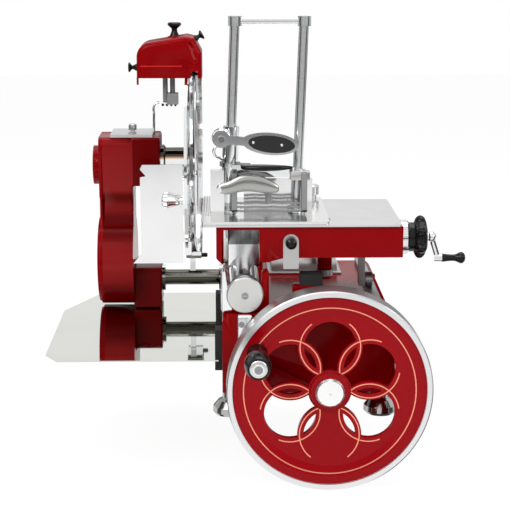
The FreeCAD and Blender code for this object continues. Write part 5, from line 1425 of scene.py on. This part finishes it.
@dataclass(frozen=True)
class Cutter:
    """Knife, guard, drive case, deflector and sharpener."""

    palette: Palette
    spindle: tuple[float, float] = (-0.220, 0.155)
    bead_height: float = 0.5508
    bead_radius: float = 0.0014
    bead_rear: float = 0.010
    bead_bend: Sequence[tuple[float, float]] = ((0.0, 0.012), (0.0015, 0.005), (0.007, 0.0),
                                                (0.030, 0.0))
    bead_end: float = -0.206
    lip: tuple[Point, Point] = ((-0.1955, -0.0009, 0.5416), (-0.1745, 0.0020, 0.5535))
    tails: Sequence[tuple[float, float, float]] = ((-0.2858, -0.2824, 0.5185),
                                                   (-0.1736, -0.1714, 0.5255))
    tail_deep: float = 0.0040
    tail_under: float = 0.0015
    skirt: float = 0.0025
    knob_sunk: float = 0.0062
    adjuster: Point = (-0.2265, 0.1500, 0.4905)
    pins: int = 4
    pins_from: float = -0.2420
    pin_pitch: float = 0.0075
    pin_ahead: float = 0.004
    pin_height: float = 0.4812
    wire_radius: float = 0.0022
    wire_points: tuple[Point, ...] = (
        (-0.2482, 0.1550, 0.4828), (-0.2535, 0.1550, 0.4812), (-0.2580, 0.1550, 0.4760),
        (-0.2585, 0.1550, 0.4600), (-0.2590, 0.1550, 0.4250))

    def finish(self) -> None:
        """Dress the cutting side."""
        look = self.palette
        Casting("drive_case", "frame", "red_paint", 0.004, 4).make(look.case)
        self._lid_knob()
        Casting("case_cover", "frame", "red_paint", 0.002, 3).make(look.red)
        Pressed("sharpener_cover", "sharpener", "red_paint", self.spindle, 0.6005, 1.0, 0.0105,
                0.6100).make(look.red)
        Pressed("top_knob", "topknob", "black_plastic", self.spindle, 0.5900, 0.92, 0.0105,
                0.5).make(look.black)
        self._cover_trim()
        BentRod("PropWire", "frame", "chrome", self.wire_points, self.wire_radius).make(
            look.chrome)
        self._adjuster()
        dress(look.satin, "case_lid")
        dress(look.chrome, "knife_guard")
        dress(look.blade, "knife")
        dress(look.tube, "bearing_tube")
        dress(look.knurl, "sharpener_block")
        dress(look.sheet, "deflector")
        dress(look.black, "guard_knob", "left_knob", "right_knob")
        dress(look.machined, "right_stone")

    def _cover_trim(self) -> None:
        """Lip, hanging tails and raised bead of the sharpener's cover."""
        low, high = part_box("sharpener_cover")
        side, front = low[0] + self.skirt, low[1]
        lip = [(along, front + out, upward) for along, out, upward in self.lip]
        Block("NotchLip", "sharpener", "red_paint", *lip, 0.0006).make(self.palette.red)
        for number, (left, right, end) in enumerate(self.tails):
            Block(f"CoverTail{number}", "sharpener", "red_paint", (left, front, end),
                  (right, front + self.tail_deep, low[2] + self.tail_under), 0.0005).make(
                self.palette.red)
        path = [(side, high[1] - self.bead_rear),
                *((side + along, front + across) for along, across in self.bead_bend),
                (self.bead_end, front)]
        points = [(*place, self.bead_height) for place in path]
        # The bead's lighter red is a painted highlight.
        BentRod("CoverBead", "sharpener", "red_paint", points, self.bead_radius).make(
            self.palette.bead)

    def _lid_knob(self) -> None:
        """Milled head on the screw of the case's lid."""
        low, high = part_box("case_lid")
        along, across, _ = centre_of(low, high)
        Ribbed("LidKnob", "frame", "polished_steel", (along, across, high[2] - self.knob_sunk),
               UPWARDS, 0.0072, 0.0095, 18, 0.95).make(self.palette.machined)

    def _adjuster(self) -> None:
        """Milled collar and the pins that hang under the sharpener's block."""
        Ribbed("Adjuster", "sharpener", "polished_steel", self.adjuster, UPWARDS,
               0.0116, 0.0150, 22, 0.93).make(self.palette.knurl)
        for number in range(self.pins):
            at = (self.pins_from + number * self.pin_pitch, self.adjuster[1] - self.pin_ahead,
                  self.pin_height)
            Dome(f"BlockPin{number}", "sharpener", "black_plastic", at, DOWNWARDS,
                 0.0026, 0.0050).make(self.palette.black)


@dataclass(frozen=True)
class Carriage:
    """Carriage with its latch, roller, dial and feed crank."""

    palette: Palette

    def finish(self) -> None:
        """Dress the carriage."""
        look = self.palette
        Casting("carriage", "carriage", "red_paint", 0.0025, 3, outer_only=True).make(look.slide)
        dress(look.steel, "deck_plate")
        dress(look.chrome, "bar_sleeve", "feed_crank")
        dress(look.plate, "latch_plate")
        dress(look.dial, "end_cap")
        Crowned("thickness_knob", "thick", "black_plastic").make(look.black)
        dress(look.machined, "roller_hanger", "track_roller")
        dress(look.black, "latch_knob", "feed_dial", "crank_grip")


@dataclass(frozen=True)
class Table:
    """Food table, fence, rods and clamp."""

    palette: Palette
    fish_pivot: tuple[float, float] = (-0.141, 0.372)
    fish_sections: tuple[tuple[float, float, float, float], ...] = (
        (-0.0032, 0.0010, 0.0026, 0.0042), (0.0010, 0.0010, 0.0040, 0.0078),
        (0.0130, 0.0012, 0.0044, 0.0106), (0.0240, 0.0055, 0.0050, 0.0128),
        (0.0350, 0.0093, 0.0050, 0.0137), (0.0500, 0.0106, 0.0052, 0.0143),
        (0.0610, 0.0092, 0.0052, 0.0144), (0.0740, 0.0067, 0.0050, 0.0138),
        (0.0865, 0.0032, 0.0048, 0.0108), (0.0950, 0.0012, 0.0036, 0.0068),
        (0.0975, 0.0008, 0.0024, 0.0038))
    pin: Point = (-0.0605, -0.1125, 0.3560)
    bracket: tuple[Point, Point] = ((-0.0240, -0.1080, 0.3835), (0.0080, -0.0885, 0.3975))
    knuckle: Point = (-0.137, -0.1130, 0.452)
    stay_radius: float = 0.0026
    stay: tuple[Point, ...] = (
        (-0.1450, -0.1010, 0.4400), (-0.1488, -0.1015, 0.4340), (-0.1480, -0.0995, 0.4240),
        (-0.1360, -0.0915, 0.4170))
    grip_from: Point = (-0.1060, -0.1345, 0.4078)
    grip_length: float = 0.0840
    grip_bow: float = 0.0100
    grip_half: tuple[float, float] = (0.0050, 0.0047)
    grip_swell: tuple[tuple[float, float], ...] = (
        (0.0, 0.35), (0.03, 0.62), (0.15, 0.88), (0.35, 1.0), (0.6, 1.0), (0.82, 0.85),
        (0.96, 0.6), (1.0, 0.32))
    rivets: tuple[tuple[float, float], ...] = ((-0.0852, 0.4470), (-0.0390, 0.4426))
    rivet_sunk: float = 0.0001

    def finish(self) -> None:
        """Dress the table and the clamp."""
        look = self.palette
        dress(look.table, "food_table")
        dress(look.sheet, "fence")
        dress(look.rod, "clamp_rods")
        dress(look.satin, "table_knob")
        dress(look.chrome, "clamp_frame")
        self._gripper()
        self._knuckle()
        self._low_grip()
        dress(look.lever, "clamp_lever")
        dress(look.low_lever, "low_lever")
        self._fish_handle()
        self._lever_rivets()

    def _fish_handle(self) -> None:
        """Swelling polished handle that turns on the side post's pin."""
        deep_middle = centre_of(*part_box("fish_handle"))[1]
        stations = tuple((self.fish_pivot[0] + along, deep_middle, self.fish_pivot[1] + rise,
                          deep, tall) for along, rise, deep, tall in self.fish_sections)
        handle = Loft("FishHandle", "fish", "chrome", stations).make(self.palette.cast)
        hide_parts("fish_handle")

    def _gripper(self) -> None:
        """Toothed bars that hold the meat, with their pin and bracket."""
        bars = Gripper("ToothedGripper", "clamp", "chrome").make(self.palette.machined)
        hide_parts("gripper")
        Ribbed("GripperPin", "clamp", "polished_steel", self.pin, UPWARDS,
               0.0052, 0.0200, 12, 0.86).make(self.palette.machined)
        Block("GripperBracket", "clamp", "chrome", *self.bracket, 0.0016).make(self.palette.plate)

    def _knuckle(self) -> None:
        """Screw and bent stay of the big lever's hinge."""
        Screw("LeverScrew", "lever", "polished_steel", self.knuckle, AHEAD,
              0.0062, 0.0022, 0.0014).make(self.palette.machined)
        BentRod("LeverStay", "clamp", "chrome", self.stay, self.stay_radius).make(
            self.palette.chrome)

    def _low_grip(self) -> None:
        """Black grip along the lower lever's front edge."""
        along, across, upward = self.grip_from
        deep, high = self.grip_half
        stations = tuple((along + self.grip_length * share,
                          across + self.grip_bow * (2 * share - 1) ** 2,
                          upward, deep * girth, high * girth)
                         for share, girth in self.grip_swell)
        Loft("LowGrip", "lowlever", "black_plastic", stations).make(self.palette.black)

    def _lever_rivets(self) -> None:
        """Rivet heads on the clamp lever's inlay."""
        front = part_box("clamp_lever")[0][1] + self.rivet_sunk
        for number, (across, upward) in enumerate(self.rivets):
            Dome(f"LeverRivet{number}", "lever", "chrome", (across, front, upward), AHEAD,
                 0.0023, 0.0007).make(self.palette.chrome)


# ------------------------------------------------------------------- studio


@dataclass(frozen=True)
class Lamp:
    """Large soft lamp."""

    name: str
    place: Point
    target: Point
    width: float
    power: float

    def hang(self) -> None:
        """Add the lamp and point it at its target."""
        light = bpy.data.lights.new(self.name, "AREA")
        light.size = self.width
        light.energy = self.power
        lamp = bpy.data.objects.new(self.name, light)
        lamp.location = self.place
        aim = Vector(self.target) - Vector(self.place)
        lamp.rotation_euler = aim.to_track_quat("-Z", "Y").to_euler()
        bpy.context.scene.collection.objects.link(lamp)


@dataclass(frozen=True)
class Studio:
    """Pale floor, soft light and the camera."""

    floor_height: float = -0.1005
    floor_size: float = 14.0
    floor_tone: Colour = (0.9, 0.9, 0.9)
    floor_roughness: float = 0.7
    floor_sheen: float = 0.1
    floor_glow: float = 1.075
    glow_seen: float = 0.86
    glow_mirrored: float = 0.95
    camera_place: Point = (-0.1316, -2.4096, 0.7681)
    pitch: float = 12.472
    yaw: float = 1.228
    lens: float = 100.64
    sensor: float = 36.0
    ambient: float = 0.5
    mirrored: float = 1.0
    height_bands: tuple[tuple[float, float], ...] = (
        (0.30, 0.95), (0.485, 0.90), (0.50, 0.12), (0.545, 0.14), (0.575, 1.0), (1.0, 1.0))
    side_cards: tuple[tuple[float, float], ...] = (
        (0.0, 1.0), (0.30, 1.0), (0.34, 0.08), (0.47, 0.06), (0.52, 1.0), (0.80, 1.0),
        (0.84, 0.35), (0.90, 0.35), (0.94, 1.0))
    far_floor: tuple[tuple[float, float], ...] = (
        (0.0, 1.0), (0.24, 1.0), (0.27, 0.12), (1.0, 0.12))
    centre: tuple[float, float] = (-0.10, -0.10)
    lamps: tuple[Lamp, ...] = (
        Lamp("KeyLamp", (-1.6, -2.0, 2.4), (0.0, 0.0, 0.25), 1.6, 46.0),
        Lamp("FillLamp", (2.2, -1.6, 1.6), (0.0, 0.0, 0.2), 1.4, 24.0),
        Lamp("TopLamp", (0.1, 0.6, 2.6), (0.0, 0.0, 0.2), 1.8, 30.0))

    def build(self) -> None:
        """Set everything up round the machine."""
        self._floor()
        self._world()
        for lamp in self.lamps:
            lamp.hang()
        self._camera()

    def _cards(self, graph: Graph, across: Signal, deep: Signal) -> Signal:
        """Dark cards that stand round the machine.

        Args:
            graph: The nodes they are added to.
            across: Distance to the right.
            deep: Distance to the rear.

        Returns:
            Their grey in a direction.
        """
        turn = graph.angle(across, deep * -1.0)
        return graph.greys(abs(turn) / math.pi, self.side_cards)

    def _floor(self) -> None:
        """Lay the floor, which glows white and darkens only where metal mirrors it."""
        clear_selection()
        bpy.ops.mesh.primitive_plane_add(size=self.floor_size, location=(0, 0, self.floor_height))
        floor = bpy.context.object
        floor.name = "Floor"
        recipe = Recipe("PaleFloor")
        recipe.feed(Base_Color=(*self.floor_tone, 1.0), Roughness=self.floor_roughness,
                    Specular_IOR_Level=self.floor_sheen)
        camera = recipe.ray("Camera")
        across, deep, _ = recipe.axes()
        cards = self._cards(recipe, across - self.centre[0], deep - self.centre[1])
        reach = (across * across + deep * deep).root() / self.floor_size
        cards = cards * recipe.greys(reach, self.far_floor)
        tint = recipe.mix(camera, cards, (1.0, 1.0, 1.0))
        glow = recipe.node("ShaderNodeEmission", {}, {"Color": tint, "Strength": self.floor_glow})
        seen = camera * self.glow_seen + recipe.ray("Glossy") * self.glow_mirrored
        plain = Signal(recipe, recipe.shader.outputs[0])
        recipe.surface(recipe.tree.nodes["Material Output"], recipe.blend(seen, plain, glow))
        floor.data.materials.append(recipe.material)
        clear_selection()

    def _world(self) -> None:
        """White behind the machine, with dark cards for metal to mirror."""
        world = bpy.data.worlds.new("Studio")
        bpy.context.scene.world = world
        world.use_nodes = True
        world.node_tree.nodes.clear()
        graph = Graph(world.node_tree)
        across, deep, upward = graph.split(graph.node("ShaderNodeTexCoord", {}, {}, "Generated"))
        bands = graph.greys(upward * 0.5 + 0.5, self.height_bands)
        cards = bands * self._cards(graph, across, deep)
        white = graph.node("ShaderNodeBackground", {}, {0: (1.0, 1.0, 1.0, 1.0)})
        soft = graph.node("ShaderNodeBackground", {}, {1: self.ambient})
        glossy = graph.node("ShaderNodeBackground", {}, {0: cards, 1: self.mirrored})
        lit = graph.blend(graph.ray("Glossy"), soft, glossy)
        output = world.node_tree.nodes.new("ShaderNodeOutputWorld")
        graph.surface(output, graph.blend(graph.ray("Camera"), lit, white))

    def _camera(self) -> None:
        """Stand the camera a little above the machine."""
        view = bpy.data.cameras.new("Camera")
        view.lens = self.lens
        view.sensor_width = self.sensor
        camera = bpy.data.objects.new("Camera", view)
        camera.location = self.camera_place
        camera.rotation_euler = Euler((math.radians(90.0 - self.pitch), 0.0,
                                       math.radians(-self.yaw)))
        bpy.context.scene.collection.objects.link(camera)
        bpy.context.scene.camera = camera
        bpy.context.scene.view_settings.view_transform = "Standard"


def main() -> None:
    """Dress the machine and set up the studio."""
    logging.basicConfig(level=logging.INFO, format="%(name)s: %(message)s")
    palette = Palette()
    for group in (Stand(palette), Wheel(palette), Cutter(palette), Carriage(palette),
                  Table(palette)):
        group.finish()
        log.info("finished %s", type(group).__name__)
    Studio().build()


if __name__ == "__main__":
    main()
